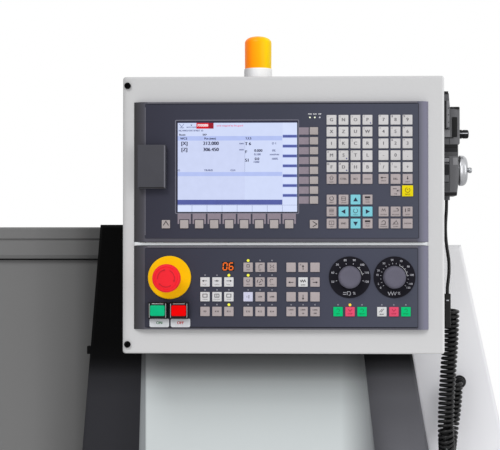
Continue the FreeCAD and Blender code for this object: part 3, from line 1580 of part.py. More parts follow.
def curly_cord():
    """Curled wire as one unbroken tube, with a straight end into the sleeve and one into the gland."""
    places = coil_places()
    knots = [coil_point(s) for s in places]
    lean = 0.02
    headings = [(coil_point(s + lean) - coil_point(s - lean)).normalize() for s in places]
    headings[0] = headings[-1] = V(0, 1, 0)
    first = V(knots[0].x, box_y + sleeve_y + sleeve_half_y, knots[0].z)
    last = V(knots[-1].x, end_cover_front - gland_length, knots[-1].z)
    edges = [Part.LineSegment(first, knots[0]).toShape()]
    for i in range(len(knots) - 1):
        edges += biarc(knots[i], headings[i], knots[i + 1], headings[i + 1])
    edges.append(Part.LineSegment(knots[-1], last).toShape())
    fine = 24
    samples = [coil_point(coil_length() * i / (coil_turns() * fine))
               for i in range(int(coil_turns() * fine) + 1)]
    print("curls:", coil_turns(), "least gap mm:", round(least_gap(samples, fine), 2))
    wire = Part.Wire(edges)
    print("curly cord length mm:", round(wire.Length))
    return swept(wire, first, V(0, 1, 0), cord_radius, coil_sides)


def cord_gland():
    """Gland on the end housing that takes the curly cord's fixed end."""
    end = coil_point(coil_length())
    start = (end.x, end_cover_front, end.z)
    return turned([(0, gland_radius + 2), (4, gland_radius + 2), (4, gland_radius),
                   (gland_length - 4, gland_radius - 1), (gland_length, cord_radius + 1.5)],
                  start, (0, -1, 0))


# ---------------------------------------------------------------- all pieces
pieces = {
    "stand_pedestals": stand_pedestals, "levelling_feet": levelling_feet, "chip_tray": chip_tray,
    "lathe_bed": lathe_bed, "headstock": headstock, "spindle": spindle, "chuck_body": chuck_body,
    "chuck_jaw_1": lambda: chuck_jaw(0), "chuck_jaw_2": lambda: chuck_jaw(1),
    "chuck_jaw_3": lambda: chuck_jaw(2), "saddle": saddle, "cross_slide": cross_slide,
    "turret_base": turret_base, "tool_block": tool_block, "cutting_tools": cutting_tools,
    "z_ballscrew": z_ballscrew, "tailstock": tailstock, "quill": quill,
    "tailstock_handwheel": tailstock_handwheel, "rear_guard": rear_guard,
    "headstock_cover": headstock_cover, "sliding_door": sliding_door, "door_handle": door_handle,
    "console_pod": console_pod, "console_column": console_column, "right_end_cover": right_end_cover,
    "electric_cabinet": electric_cabinet, "control_box_front": control_box_front,
    "control_box_shell": control_box_shell, "box_screws": box_screws,
    "screen_unit_bezel": screen_unit_bezel, "display_glass": display_glass, "usb_cover": usb_cover,
    "character_keys": character_keys, "command_keys": command_keys, "cursor_keys": cursor_keys,
    "input_key": input_key, "machine_unit_bezel": machine_unit_bezel,
    "tool_number_display": tool_number_display, "machine_keys": machine_keys,
    "start_keys": start_keys, "stop_keys": stop_keys, "emergency_stop_plate": emergency_stop_plate,
    "emergency_stop_button": emergency_stop_button, "push_button_frames": push_button_frames,
    "power_on_button": lambda: power_button(power_on_x),
    "power_off_button": lambda: power_button(power_off_x), "override_scales": override_scales,
    "spindle_override_knob": lambda: override_knob(spindle_knob_x),
    "feed_override_knob": lambda: override_knob(feed_knob_x),
    "beacon_base": beacon_base, "beacon_lens": beacon_lens, "handwheel_holder": handwheel_holder,
    "handwheel_unit_body": handwheel_unit_body, "axis_selector_knob": axis_selector_knob,
    "pulse_handwheel": pulse_handwheel, "handwheel_cable": handwheel_cable,
    "cable_sleeve": cable_sleeve, "curly_cord": curly_cord, "cord_gland": cord_gland,
}

os.makedirs(OUT, exist_ok=True)
for name, make in pieces.items():
    shape = make()
    if not shape.isValid():
        print("not valid:", name)
    shape.exportStep(os.path.join(OUT, name + ".step"))
    print(name, len(shape.Solids), round(shape.Volume / 1000.0, 2), "cm3")
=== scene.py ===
"""Looks of the turning lathe: materials, prints, keys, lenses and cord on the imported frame.

The frame is in metres. The operator station is laid out in millimetres from the middle of its
front plate: X to the right, Y away from the operator, Z up. Surface.piece turns them into metres.
"""
import math

import bpy
import numpy as np
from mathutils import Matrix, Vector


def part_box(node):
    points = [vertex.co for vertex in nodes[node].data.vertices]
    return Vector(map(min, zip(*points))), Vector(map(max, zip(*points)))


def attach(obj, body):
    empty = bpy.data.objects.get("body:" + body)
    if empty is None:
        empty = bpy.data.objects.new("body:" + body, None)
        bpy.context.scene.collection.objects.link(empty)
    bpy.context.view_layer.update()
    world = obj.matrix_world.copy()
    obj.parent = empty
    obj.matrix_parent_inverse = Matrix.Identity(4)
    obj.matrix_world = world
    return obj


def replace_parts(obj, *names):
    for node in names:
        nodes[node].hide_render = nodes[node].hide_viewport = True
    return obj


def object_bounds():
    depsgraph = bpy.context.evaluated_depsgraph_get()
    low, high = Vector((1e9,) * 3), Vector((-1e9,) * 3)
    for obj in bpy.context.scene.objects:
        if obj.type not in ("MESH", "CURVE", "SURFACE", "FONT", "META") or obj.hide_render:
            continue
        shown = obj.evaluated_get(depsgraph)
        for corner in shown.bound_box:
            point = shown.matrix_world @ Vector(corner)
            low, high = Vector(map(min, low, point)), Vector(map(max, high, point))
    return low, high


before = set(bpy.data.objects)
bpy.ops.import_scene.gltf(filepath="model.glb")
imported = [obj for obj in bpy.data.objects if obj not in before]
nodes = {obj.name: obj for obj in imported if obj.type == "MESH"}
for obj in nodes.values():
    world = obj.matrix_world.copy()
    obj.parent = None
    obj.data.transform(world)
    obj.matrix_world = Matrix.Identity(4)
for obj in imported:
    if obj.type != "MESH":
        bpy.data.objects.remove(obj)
cad_low, cad_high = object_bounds()
MM = 0.001

# ---------------------------------------------------------------- places taken from the frame
plate_low, plate_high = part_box("control_box_front")
ORIGIN = np.array([(plate_low.x + plate_high.x) / 2, plate_low.y,
                   (plate_low.z + plate_high.z) / 2])


def station_box(node):
    """Corners of a CAD node in the station's millimetres."""
    low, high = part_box(node)
    return (np.array(low) - ORIGIN) / MM, (np.array(high) - ORIGIN) / MM


def across(node):
    """Middle (x, z) and size (width, height) of a CAD node as the operator sees it."""
    low, high = station_box(node)
    return ((low + high) / 2)[[0, 2]], (high - low)[[0, 2]]


unit_low, unit_high = station_box("machine_unit_bezel")
screen_unit_low, screen_unit_high = station_box("screen_unit_bezel")
screen_low, screen_high = station_box("display_glass")
pane_middle, pane_size = across("display_glass")
film_y = unit_low[1]                                # front face of both units
key_y = station_box("character_keys")[0][1]         # front face of the keys
dial_y = station_box("override_scales")[0][1]       # front face of the dial discs
print_lift = 0.08                                   # a print stands this far before its face
film_print, key_print = film_y - print_lift, key_y - print_lift


def columns(first, count):
    """Places of keys that stand side by side."""
    return [first + key_pitch * i for i in range(count)]


key_pitch, row_pitch, key_size, input_key_size = 17.03, 16.84, 14.0, 15.7
key_corner, key_edge = 0.8, 0.5                     # radii of a cap's corners and front edge
letter_columns, digit_columns = columns(69.3, 4), columns(143.1, 3)
top_row = 135.0
letter_rows = [top_row - row_pitch * i for i in range(5)]
command_row = top_row - row_pitch * 5
tab_row = command_row - key_pitch
cursor_rows = [21.5 - key_pitch * i for i in range(3)]
machine_size = 13.4
machine_rows = [-74.8, -95.8, -116.8, -137.8]
group_a, group_b, group_c, group_d, group_e = (
    columns(first, 3) for first in (-111.0, -49.5, 11.7, 78.4, 140.5))
softkey_x = [-140.8 + 21.4 * i for i in range(8)]
softkey_row, softkey_size = -13.4, 11.9
recall_x, side_key_x = -167.0, 44.3
side_key_rows = [119.4 - 14.07 * i for i in range(8)]
side_key_height = 10.6


# ---------------------------------------------------------------- colours and materials
def linear(colour):
    """0-255 display colour as the linear colour that a shader takes."""
    c = np.array(colour, float) / 255.0
    c = np.where(c <= 0.04045, c / 12.92, ((c + 0.055) / 1.055) ** 2.4)
    return (*[float(v) for v in c], 1.0)


def feed(tree, node, inputs):
    """Gives a node's inputs plain values, or links from other nodes' outputs."""
    for name, value in inputs.items():
        if isinstance(value, bpy.types.NodeSocket):
            tree.links.new(value, node.inputs[name])
        else:
            node.inputs[name].default_value = value
    return node


def grow(tree, kind, inputs):
    """New node with its inputs fed."""
    return feed(tree, tree.nodes.new("ShaderNode" + kind), inputs)


def started(name, stretch=(1.0, 1.0, 1.0)):
    """New material: its node tree, its shader, and Object coordinates, stretched for long grain."""
    material = bpy.data.materials.new(name)
    material.use_nodes = True
    tree = material.node_tree
    place = tree.nodes.new("ShaderNodeTexCoord")
    mapping = grow(tree, "Mapping", {"Vector": place.outputs["Object"], "Scale": stretch})
    return material, tree, tree.nodes["Principled BSDF"], mapping.outputs["Vector"]


def noise(tree, vector, scale, detail=3.0, roughness=0.55):
    """Noise texture on the given coordinates."""
    return grow(tree, "TexNoise", {"Vector": vector, "Scale": scale, "Detail": detail,
                                   "Roughness": roughness}).outputs["Fac"]


def ramp(tree, value, stops):
    """Colour ramp through (position, colour) stops."""
    node = grow(tree, "ValToRGB", {"Fac": value})
    band = node.color_ramp
    while len(band.elements) < len(stops):
        band.elements.new(0.5)
    for element, (position, colour) in zip(band.elements, stops):
        element.position = position
        element.color = colour
    return node.outputs["Color"]


def tinted(tree, value, colour, change, margin=0.3):
    """Shade that drifts with a noise between a little darker and a little lighter."""
    c = np.array(colour, float)
    dark, light = (linear(np.clip(c * (1 + way * change), 0, 255)) for way in (-1, 1))
    return ramp(tree, value, [(margin, dark), (1 - margin, light)])


def gloss(tree, value, low, high):
    """Roughness that follows a noise between two values."""
    return grow(tree, "MapRange", {"Value": value, "To Min": low, "To Max": high}).outputs["Result"]


def relief(tree, height, strength, distance):
    """Normal that follows a noise as a height."""
    return grow(tree, "Bump", {"Height": height, "Strength": strength,
                               "Distance": distance}).outputs["Normal"]


PEEL_DEPTH, GRAIN_DEPTH, LUMP_DEPTH = 0.0004, 0.0002, 0.002     # metres


def paint(name, colour, rough=0.5, bump=0.12, change=0.03, sheen=0.4):
    """Powder coat: fine orange-peel grain, with slow change of shade over the sheet."""
    material, tree, shader, vector = started(name)
    peel = noise(tree, vector, 420.0, 2.0)
    feed(tree, shader, {"Base Color": tinted(tree, noise(tree, vector, 3.5, 4.0), colour, change),
                        "Roughness": gloss(tree, peel, rough - 0.07, rough + 0.09),
                        "Specular IOR Level": sheen,
                        "Normal": relief(tree, peel, bump, PEEL_DEPTH)})
    return material


def plastic(name, colour, rough=0.42, grain=900.0, bump=0.1, sheen=0.45, glow=0.0):
    """Moulded plastic: spark-eroded grain, a faint drift of shade, and a glow, which is painted light
    on a part that is no lamp.
    """
    material, tree, shader, vector = started(name)
    tone = tinted(tree, noise(tree, vector, 24.0), colour, 0.02, margin=0.35)
    fine = noise(tree, vector, grain, 2.0)
    feed(tree, shader, {"Base Color": tone, "Specular IOR Level": sheen,
                        "Roughness": gloss(tree, fine, rough - 0.06, rough + 0.08),
                        "Normal": relief(tree, fine, bump, GRAIN_DEPTH)})
    if glow:
        feed(tree, shader, {"Emission Color": tone, "Emission Strength": glow})
    return material


def metal(name, colour, rough=0.28, along=(1.0, 14.0, 14.0), grain=160.0, change=0.06):
    """Machined metal: tool marks drawn out along one axis, in shade, gloss and height."""
    material, tree, shader, vector = started(name, along)
    marks = noise(tree, vector, grain, 5.0, 0.65)
    feed(tree, shader, {"Base Color": tinted(tree, marks, colour, change), "Metallic": 1.0,
                        "Roughness": gloss(tree, marks, rough - 0.08, rough + 0.12),
                        "Normal": relief(tree, marks, 0.1, GRAIN_DEPTH)})
    return material


def cast_iron(name, colour):
    """Painted casting: lumpy skin with coarse speckle."""
    material, tree, shader, vector = started(name)
    lumps = noise(tree, vector, 55.0, 6.0, 0.7)
    feed(tree, shader, {"Base Color": tinted(tree, lumps, colour, 0.07),
                        "Roughness": gloss(tree, lumps, 0.45, 0.7),
                        "Normal": relief(tree, lumps, 0.35, LUMP_DEPTH)})
    return material


def ink(name, colour, rough=0.55):
    """Screen-printed ink: matt, with the slight unevenness of the print."""
    material, tree, shader, vector = started(name)
    film = noise(tree, vector, 260.0, 2.0)
    feed(tree, shader, {"Base Color": tinted(tree, film, colour, 0.02), "Specular IOR Level": 0.25,
                        "Roughness": gloss(tree, film, rough - 0.05, rough + 0.08)})
    return material


def lit(name, colour, strength=1.0, change=0.04):
    """Something that shines by itself, such as a lamp or a part of the screen's picture."""
    material, tree, shader, vector = started(name)
    tone = tinted(tree, noise(tree, vector, 90.0, 1.0), colour, change)
    feed(tree, shader, {"Emission Color": tone, "Emission Strength": strength,
                        "Base Color": linear((12, 12, 14)), "Roughness": 0.35,
                        "Specular IOR Level": 0.1})
    return material


def along_axis(tree, value, stops):
    """Colours along one coordinate; the stops are (place in metres, colour)."""
    low, high = stops[0][0], stops[-1][0]
    share = grow(tree, "MapRange", {"Value": value, "From Min": low, "From Max": high})
    return ramp(tree, share.outputs["Result"],
                [((place - low) / (high - low), linear(colour)) for place, colour in stops])


def graded(name, stops_x, stops_z=None, rough=0.5, grain=420.0, bump=0.12, sheen=0.3, glow=0.0):
    """Finish with painted light and shade: its colour changes over the part, the colours along X
    times those along Z, and its glow is painted light.
    """
    material, tree, shader, vector = started(name)
    place = grow(tree, "SeparateXYZ", {"Vector": vector}).outputs
    tone = along_axis(tree, place["X"], stops_x)
    if stops_z:
        mix = grow(tree, "MixRGB", {"Fac": 1.0, "Color1": tone,
                                    "Color2": along_axis(tree, place["Z"], stops_z)})
        mix.blend_type = "MULTIPLY"
        tone = mix.outputs["Color"]
    peel = noise(tree, vector, grain, 2.0)
    feed(tree, shader, {"Base Color": tone, "Emission Color": tone, "Emission Strength": glow,
                        "Roughness": gloss(tree, peel, rough - 0.06, rough + 0.1),
                        "Specular IOR Level": sheen,
                        "Normal": relief(tree, peel, bump, PEEL_DEPTH)})
    return material


# ---------------------------------------------------------------- the palette
PAINT = {
    "stand": paint("stand_paint", (84, 88, 94)),
    "light": paint("light_paint", (214, 215, 216)),
    "guard": paint("guard_paint", (122, 122, 123), rough=0.46),
    "bead": paint("bead_paint", (222, 225, 228), rough=0.4, change=0.01, sheen=0.3),
    "cabinet": paint("cabinet_paint", (196, 198, 198)),
    "bed": cast_iron("bed_casting", (126, 134, 134)),
    "casting": cast_iron("slide_casting", (150, 158, 156)),
}
EVEN = (1.0, 1.0, 1.0)      # no direction in the grain
METAL = {
    "ground": metal("ground_steel", (176, 178, 180)),
    "hard": metal("hardened_steel", (120, 121, 124), rough=0.36),
    "turned": metal("turned_steel", (158, 160, 163), along=(20.0, 1.0, 1.0)),
    "alloy": metal("alloy", (198, 200, 203), rough=0.3, along=(1.0, 1.0, 12.0)),
    "silver": metal("satin_silver", (186, 187, 190), rough=0.32, along=(1.0, 3.0, 3.0),
                    change=0.03),
    "zinc": metal("zinc_plate", (150, 151, 150), rough=0.42, along=EVEN, grain=60.0),
    "screw": metal("screw_black", (14, 14, 15), rough=0.4, along=EVEN, grain=80.0),
    "black": metal("black_oxide", (52, 52, 55), rough=0.42, along=EVEN, grain=80.0),
}
KEY_COAT = {"rough": 0.5, "sheen": 0.2}
BRIGHT_COAT = {"rough": 0.5, "sheen": 0.1}
HOUSING = {"grain": 600.0, "bump": 0.2}
PLASTIC = {
    "port": plastic("port_cover_plastic", (72, 72, 78), rough=0.5, sheen=0.12),
    "key_light": plastic("key_light_plastic", (205, 203, 204), **KEY_COAT),
    "key_grey": plastic("key_grey_plastic", (174, 164, 165), **KEY_COAT),
    "softkey": plastic("softkey_plastic", (173, 165, 164), **KEY_COAT),
    "key_white": plastic("key_white_plastic", (214, 214, 216), **KEY_COAT),
    "key_blue": plastic("key_bluish_plastic", (204, 204, 226), **KEY_COAT),
    "key_cursor": plastic("key_cursor_plastic", (126, 202, 216), **KEY_COAT),
    "key_yellow": plastic("key_yellow_plastic", (231, 212, 10), **BRIGHT_COAT),
    # The glow on the green and red keys and on the stop plate and stop button is painted light: none
    # of them is a lamp.
    "key_green": plastic("key_green_plastic", (0, 187, 113), glow=0.08, **BRIGHT_COAT),
    "key_red": plastic("key_red_plastic", (221, 77, 109), glow=0.06, **BRIGHT_COAT),
    "stop_yellow": plastic("stop_plate_yellow", (250, 196, 2), sheen=0.1, glow=0.04),
    "stop_red": plastic("stop_red_plastic", (238, 38, 50), rough=0.45, sheen=0.12, glow=0.1),
    "black": plastic("black_plastic", (18, 18, 20), sheen=0.2),
    "knob": plastic("knob_plastic", (100, 98, 112), rough=0.6, sheen=0.12),
    "scale": plastic("scale_black", (28, 27, 34), rough=0.55, sheen=0.06),
    "lens_green": plastic("lens_green", (2, 176, 120), rough=0.4, sheen=0.1, glow=0.12),
    "lens_red": plastic("lens_red", (232, 0, 2), rough=0.4, sheen=0.05, glow=0.12),
    "unit": plastic("hand_unit_plastic", (106, 106, 109), rough=0.55, sheen=0.15, **HOUSING),
    # Darker, middle and paler copies of the hand unit's plastic: painted shade on faces turned from
    # the light, painted light on faces turned towards it.
    "unit_dark": plastic("hand_unit_painted_shade", (44, 44, 46), rough=0.55, sheen=0.1, **HOUSING),
    "unit_mid": plastic("hand_unit_painted_half_shade", (84, 84, 86), rough=0.55, sheen=0.12, **HOUSING),
    "unit_pale": plastic("hand_unit_painted_light", (142, 142, 145), rough=0.5, sheen=0.2, **HOUSING),
    "cord": plastic("cord_jacket", (12, 12, 13), rough=0.28, grain=500.0, bump=0.04, sheen=0.28),
    "rubber": plastic("black_rubber", (7, 7, 8), rough=0.6, grain=700.0, sheen=0.05),
}
INK = {
    # Painted shade: dark lines where the shade of a groove falls, round the films and round the pane.
    "groove": ink("film_groove", (44, 45, 56), rough=0.6),
    "line": ink("film_edge_line", (118, 117, 132), rough=0.5),
    # Painted light and shade on the units' folds: lighter on the top fold, darker on the foot.
    "fold_top": ink("unit_top_fold", (101, 100, 109), rough=0.5),
    "fold_low": ink("unit_low_fold", (80, 79, 88), rough=0.5),
    # Painted highlight on lit edges: the screen film's left edge and the port cover's right edge.
    "edge_highlight": ink("edge_painted_highlight", (112, 111, 120), rough=0.5),
    "tab": ink("softkey_tab", (141, 130, 141), rough=0.5),
    "legend": ink("legend_grey", (54, 49, 52)),
    "key_letter": ink("key_letter", (108, 106, 110)),
    "arrow": ink("cursor_arrow", (34, 44, 66)),
    "legend_dark": ink("legend_dark", (38, 34, 38)),
    "legend_blue": ink("legend_blue", (92, 96, 158)),
    "legend_faint": ink("legend_faint", (128, 124, 130)),
    "legend_warm": ink("legend_warm", (124, 98, 8)),
    "legend_green": ink("legend_on_green", (0, 132, 74)),
    "legend_red": ink("legend_on_red", (164, 30, 62)),
    "white": ink("print_white", (226, 226, 230)),
    "label": ink("label_white", (214, 216, 221), rough=0.4),
    "on": ink("label_on_green", (24, 112, 60)),
    "off": ink("label_off_red", (196, 30, 36)),
    "stop_groove": ink("stop_arrow_dark", (194, 28, 42), rough=0.4),
    "numeral": ink("dial_numerals", (188, 188, 196)),
    "lamp_off": ink("lamp_unlit", (140, 140, 150), rough=0.4),
    "lamp_dim": ink("lamp_dim", (216, 216, 228), rough=0.4),
}
LIT = {
    "ground": lit("screen_ground", (209, 219, 249), change=0.006),
    "field": lit("screen_field", (205, 214, 245), change=0.008),
    "band": lit("screen_band", (180, 194, 242), change=0.01),
    "bar": lit("screen_bar", (84, 94, 162), change=0.02),
    "cell": lit("screen_cell", (214, 224, 252), change=0.006),
    "ink": lit("screen_ink", (40, 42, 72)),
    "soft_ink": lit("screen_soft_ink", (104, 112, 152)),
    "red": lit("screen_red", (214, 16, 32)),
    "dark_red": lit("screen_dark_red", (150, 20, 38)),
    "pink": lit("screen_pink", (226, 120, 150)),
    "white": lit("screen_white", (250, 238, 244)),
    "digits": lit("digits_orange", (255, 112, 30), 1.1),
    "lamp_yellow": lit("lamp_yellow", (240, 238, 70), 1.2),
    "lamp_orange": lit("lamp_orange", (255, 206, 60), 1.2),
    "lamp_pale": lit("lamp_pale", (238, 244, 216), 1.2),
}

# Painted shadow: the pod is near black at the top, beside and under the control box, lighter towards
# its foot, and darker towards its left.
PAINT["pod"] = graded(
    "pod_painted_shadow",
    [(0.15, (112, 112, 114)), (0.30, (130, 130, 132)), (0.70, (255, 255, 255)),
     (0.78, (255, 255, 255))],
    [(0.64, (112, 112, 118)), (1.09, (118, 118, 124)), (1.12, (102, 102, 107)),
     (1.128, (84, 84, 88)), (1.137, (58, 58, 61)), (1.149, (28, 28, 30)), (1.17, (16, 16, 17)),
     (1.35, (9, 9, 9))], sheen=0.04)
# Painted shade and highlight: the plate is darker along its left edge, bright along its right edge as
# a lit fold, and a little lighter at its foot and head.
PAINT["box"] = graded(
    "box_painted_edge_light",
    [(0.270, (182, 182, 183)), (0.2725, (190, 190, 191)), (0.276, (203, 203, 204)),
     (0.282, (207, 207, 208)), (0.60, (209, 209, 210)), (0.715, (208, 208, 209)),
     (0.7265, (208, 208, 209)), (0.728, (222, 222, 223)), (0.730, (244, 244, 245))],
    [(1.166, (255, 255, 255)), (1.182, (255, 255, 255)), (1.20, (253, 253, 253)),
     (1.56, (253, 253, 253)), (1.5625, (255, 255, 255))], sheen=0.2)
# Painted shadow: the column is dark at its top under the control box and lightens downwards; it is
# darker along its left edge and towards its right side.
PAINT["column"] = graded(
    "column_paint",
    [(0.28, (168, 168, 170)), (0.2925, (172, 172, 174)), (0.2935, (255, 255, 255)),
     (0.585, (255, 255, 255)), (0.64, (118, 116, 120)), (0.66, (112, 110, 114))],
    [(0.64, (208, 214, 215)), (1.08, (204, 210, 211)), (1.105, (196, 202, 203)),
     (1.118, (179, 184, 185)), (1.127, (150, 154, 155)), (1.136, (125, 127, 128)),
     (1.144, (102, 104, 105)), (1.153, (86, 87, 88)), (1.163, (67, 67, 69))], sheen=0.15)
# Painted shadow: the door darkens towards its right end, where the control box's shadow falls; the
# shade slides with the door.
PAINT["door"] = graded(
    "door_paint",
    [(-0.46, (126, 126, 126)), (0.10, (119, 119, 119)), (0.165, (104, 104, 104)),
     (0.192, (80, 80, 80)), (0.24, (66, 66, 66))], rough=0.46, sheen=0.25)
# Painted light: a glow and near-white colour lift the cover out of the control box's shade; it is a
# little darker towards its right and its foot.
PAINT["cover"] = graded(
    "cover_painted_light",
    [(0.66, (253, 253, 255)), (0.76, (250, 250, 252)), (0.80, (244, 244, 246)),
     (0.90, (240, 240, 242))],
    [(0.64, (247, 247, 249)), (1.12, (247, 247, 249)), (1.20, (252, 252, 253)),
     (1.33, (255, 255, 255))], rough=0.52, sheen=0.2, glow=0.1)
# Painted shade and light: the units' frames are dark on their left side and grow lighter across to
# their right side, lit from the right.
PLASTIC["frame"] = graded(
    "unit_frame_painted_shade",
    [(0.2863, (50, 50, 51)), (0.290, (62, 61, 64)), (0.300, (74, 73, 80)),
     (0.3038, (86, 85, 94)), (0.36, (86, 85, 95)), (0.688, (90, 89, 103)),
     (0.693, (92, 93, 107)), (0.6975, (116, 116, 130)), (0.702, (128, 127, 146)),
     (0.7055, (132, 131, 149)), (0.7073, (136, 135, 150))], grain=900.0, bump=0.08, sheen=0.12)
# Painted shade and light: the beacon's foot is darker at its left and lower edge and near white at
# its right; its glow is painted light.
PLASTIC["beacon_white"] = graded(
    "beacon_foot_painted_shade",
    [(0.443, (176, 176, 178)), (0.447, (196, 196, 198)), (0.456, (236, 236, 238)),
     (0.464, (250, 250, 250)), (0.483, (252, 252, 252))],
    [(1.560, (228, 228, 228)), (1.572, (255, 255, 255))], glow=0.1)
# Painted shade and light: the lens runs from deep orange at its left to yellow at its right.
PLASTIC["beacon_orange"] = graded(
    "beacon_lens_painted_shade",
    [(0.444, (236, 118, 6)), (0.449, (250, 130, 4)), (0.454, (252, 152, 2)),
     (0.464, (253, 172, 4)), (0.470, (252, 190, 4)), (0.475, (252, 208, 6)),
     (0.482, (246, 204, 20))], rough=0.32, bump=0.04, sheen=0.12, glow=0.22)
# Painted shade and light: the slate film is darker at its left and lighter towards its right.
INK["film"] = graded(
    "film_slate_painted_shade",
    [(0.303, (55, 55, 67)), (0.36, (60, 61, 74)), (0.50, (66, 68, 81)), (0.60, (73, 75, 90)),
     (0.693, (75, 78, 91))], grain=900.0, bump=0.04, sheen=0.08)

CAD_FINISH = {
    "stand_pedestals": PAINT["stand"], "levelling_feet": METAL["zinc"], "chip_tray": PAINT["light"],
    "lathe_bed": PAINT["bed"], "headstock": PAINT["casting"], "spindle": METAL["turned"],
    "chuck_body": METAL["turned"], "chuck_jaw_1": METAL["hard"], "chuck_jaw_2": METAL["hard"],
    "chuck_jaw_3": METAL["hard"], "saddle": PAINT["casting"], "cross_slide": METAL["ground"],
    "turret_base": METAL["black"], "tool_block": METAL["black"], "cutting_tools": METAL["hard"],
    "z_ballscrew": METAL["turned"], "tailstock": PAINT["casting"], "quill": METAL["ground"],
    "tailstock_handwheel": PLASTIC["black"], "rear_guard": PAINT["light"],
    "headstock_cover": PAINT["guard"], "sliding_door": PAINT["door"], "door_handle": METAL["alloy"],
    "console_pod": PAINT["pod"], "console_column": PAINT["column"],
    "right_end_cover": PAINT["cover"], "electric_cabinet": PAINT["cabinet"],
    "control_box_front": PAINT["box"], "control_box_shell": PAINT["box"],
    "box_screws": METAL["screw"], "screen_unit_bezel": PLASTIC["frame"],
    "machine_unit_bezel": PLASTIC["frame"], "display_glass": LIT["ground"],
    "usb_cover": PLASTIC["port"], "tool_number_display": PLASTIC["black"],
    "character_keys": PLASTIC["key_light"], "command_keys": PLASTIC["key_grey"],
    "cursor_keys": PLASTIC["key_grey"], "input_key": PLASTIC["key_yellow"],
    "machine_keys": PLASTIC["key_grey"], "start_keys": PLASTIC["key_green"],
    "stop_keys": PLASTIC["key_red"], "emergency_stop_plate": PLASTIC["stop_yellow"],
    "emergency_stop_button": PLASTIC["stop_red"], "push_button_frames": PLASTIC["black"],
    "power_on_button": PLASTIC["lens_green"], "power_off_button": PLASTIC["lens_red"],
    "override_scales": PLASTIC["scale"], "spindle_override_knob": PLASTIC["knob"],
    "feed_override_knob": PLASTIC["knob"], "beacon_base": PLASTIC["beacon_white"],
    "beacon_lens": PLASTIC["beacon_orange"], "handwheel_holder": PLASTIC["black"],
    "handwheel_unit_body": PLASTIC["unit"], "axis_selector_knob": PLASTIC["black"],
    "pulse_handwheel": METAL["alloy"], "handwheel_cable": PLASTIC["cord"],
    "cable_sleeve": PLASTIC["cord"], "curly_cord": PLASTIC["cord"], "cord_gland": PLASTIC["black"],
}


def finish_frame_nodes():
    """Every CAD node gets its material."""
    for name, node in nodes.items():
        node.data.materials.clear()
        node.data.materials.append(CAD_FINISH[name])


finish_frame_nodes()


# ---------------------------------------------------------------- shapes
CORNER_STEPS, EDGE_RINGS = 4, 5
SMALLEST_CORNER = 0.2
UP, TO_RIGHT, AWAY, FORWARDS = (0, 0, 1), (1, 0, 0), (0, 1, 0), (0, -1, 0)
EVERY_EDGE_SMOOTH = 180


def at_depth(outline, y):
    """Points (x, z) of an outline, all at one depth."""
    outline = np.asarray(outline, float)
    return np.stack([outline[:, 0], np.full(len(outline), y), outline[:, 1]], axis=1)


def rounded_outline(width, height, radius):
    """Closed outline of a rectangle with quarter-circle corners, counter-clockwise."""
    turns = np.linspace(0, math.pi / 2, CORNER_STEPS + 1)
    parts = []
    for i, (sx, sz) in enumerate([(1, 1), (-1, 1), (-1, -1), (1, -1)]):
        angle = turns + i * math.pi / 2
        parts.append(np.stack([sx * (width / 2 - radius) + radius * np.cos(angle),
                               sz * (height / 2 - radius) + radius * np.sin(angle)], axis=1))
    return np.concatenate(parts)


def rectangle(x0, x1, z0, z1):
    """Outline of a plain rectangle."""
    return np.array([(x0, z0), (x1, z0), (x1, z1), (x0, z1)], float)


def arc_points(x, z, radius, first, last, steps=16):
    """Points on a circle between two angles in degrees, clockwise from the top."""
    angle = np.radians(np.linspace(first, last, steps + 1))
    return np.stack([x + radius * np.sin(angle), z + radius * np.cos(angle)], axis=1)


def triangle(x, z, size, pointing):
    """Filled arrowhead: pointing is 0 for up, 90 for right, and so on clockwise."""
    return arc_points(x, z, size, pointing, pointing + 240, 2)


def box_icon(x, z, width, height):
    """Outline of a rectangle about its middle."""
    return rectangle(x - width / 2, x + width / 2, z - height / 2, z + height / 2)


def ring_faces(rings, around):
    """Quads between closed rings that follow each other, and an n-gon over the first and last."""
    a = np.arange(rings - 1)[:, None] * around + np.arange(around)
    b = np.arange(rings - 1)[:, None] * around + (np.arange(around) + 1) % around
    quads = np.stack([a, b, b + around, a + around], axis=-1).reshape(-1, 4).tolist()
    front, back = range((rings - 1) * around, rings * around), range(around)
    return quads + [list(front), list(back)[::-1]]


def domed_cap(width, height, front, rear, corner, edge, x, z, dish=0.0):
    """Cap of a key or button: straight sides, a quarter-round edge and a flat or dished front.

    The edge's rings shrink by edge * (1 - cos t) while they move forward by edge * sin t.
    """
    rings = [at_depth(rounded_outline(width, height, corner), rear)]
    for angle in np.linspace(0, math.pi / 2, EDGE_RINGS):
        shrink = edge * (1 - math.cos(angle))
        outline = rounded_outline(width - 2 * shrink, height - 2 * shrink,
                                  max(corner - shrink, SMALLEST_CORNER))
        rings.append(at_depth(outline, front + edge * (1 - math.sin(angle))))
    if dish:
        outline = rounded_outline(width - 4 * edge, height - 4 * edge,
                                  max(corner - edge, SMALLEST_CORNER))
        rings.append(at_depth(outline, front + dish))
    return np.concatenate(rings) + [x, 0.0, z], ring_faces(len(rings), len(rings[0]))


def turned(profile, origin, axis, side, steps=64):
    """Surface of revolution about any axis: profile is (distance along the axis, radius) pairs."""
    profile = np.array(profile, float)
    axis, side = np.array(axis, float), np.array(side, float)
    other = np.cross(axis, side)
    angle = np.arange(steps) * 2 * math.pi / steps
    spokes = np.cos(angle)[:, None] * side + np.sin(angle)[:, None] * other
    points = (np.array(origin, float) + profile[:, None, 0:1] * axis
              + profile[:, None, 1:2] * spokes[None, :, :])
    return points.reshape(-1, 3), ring_faces(len(profile), steps)


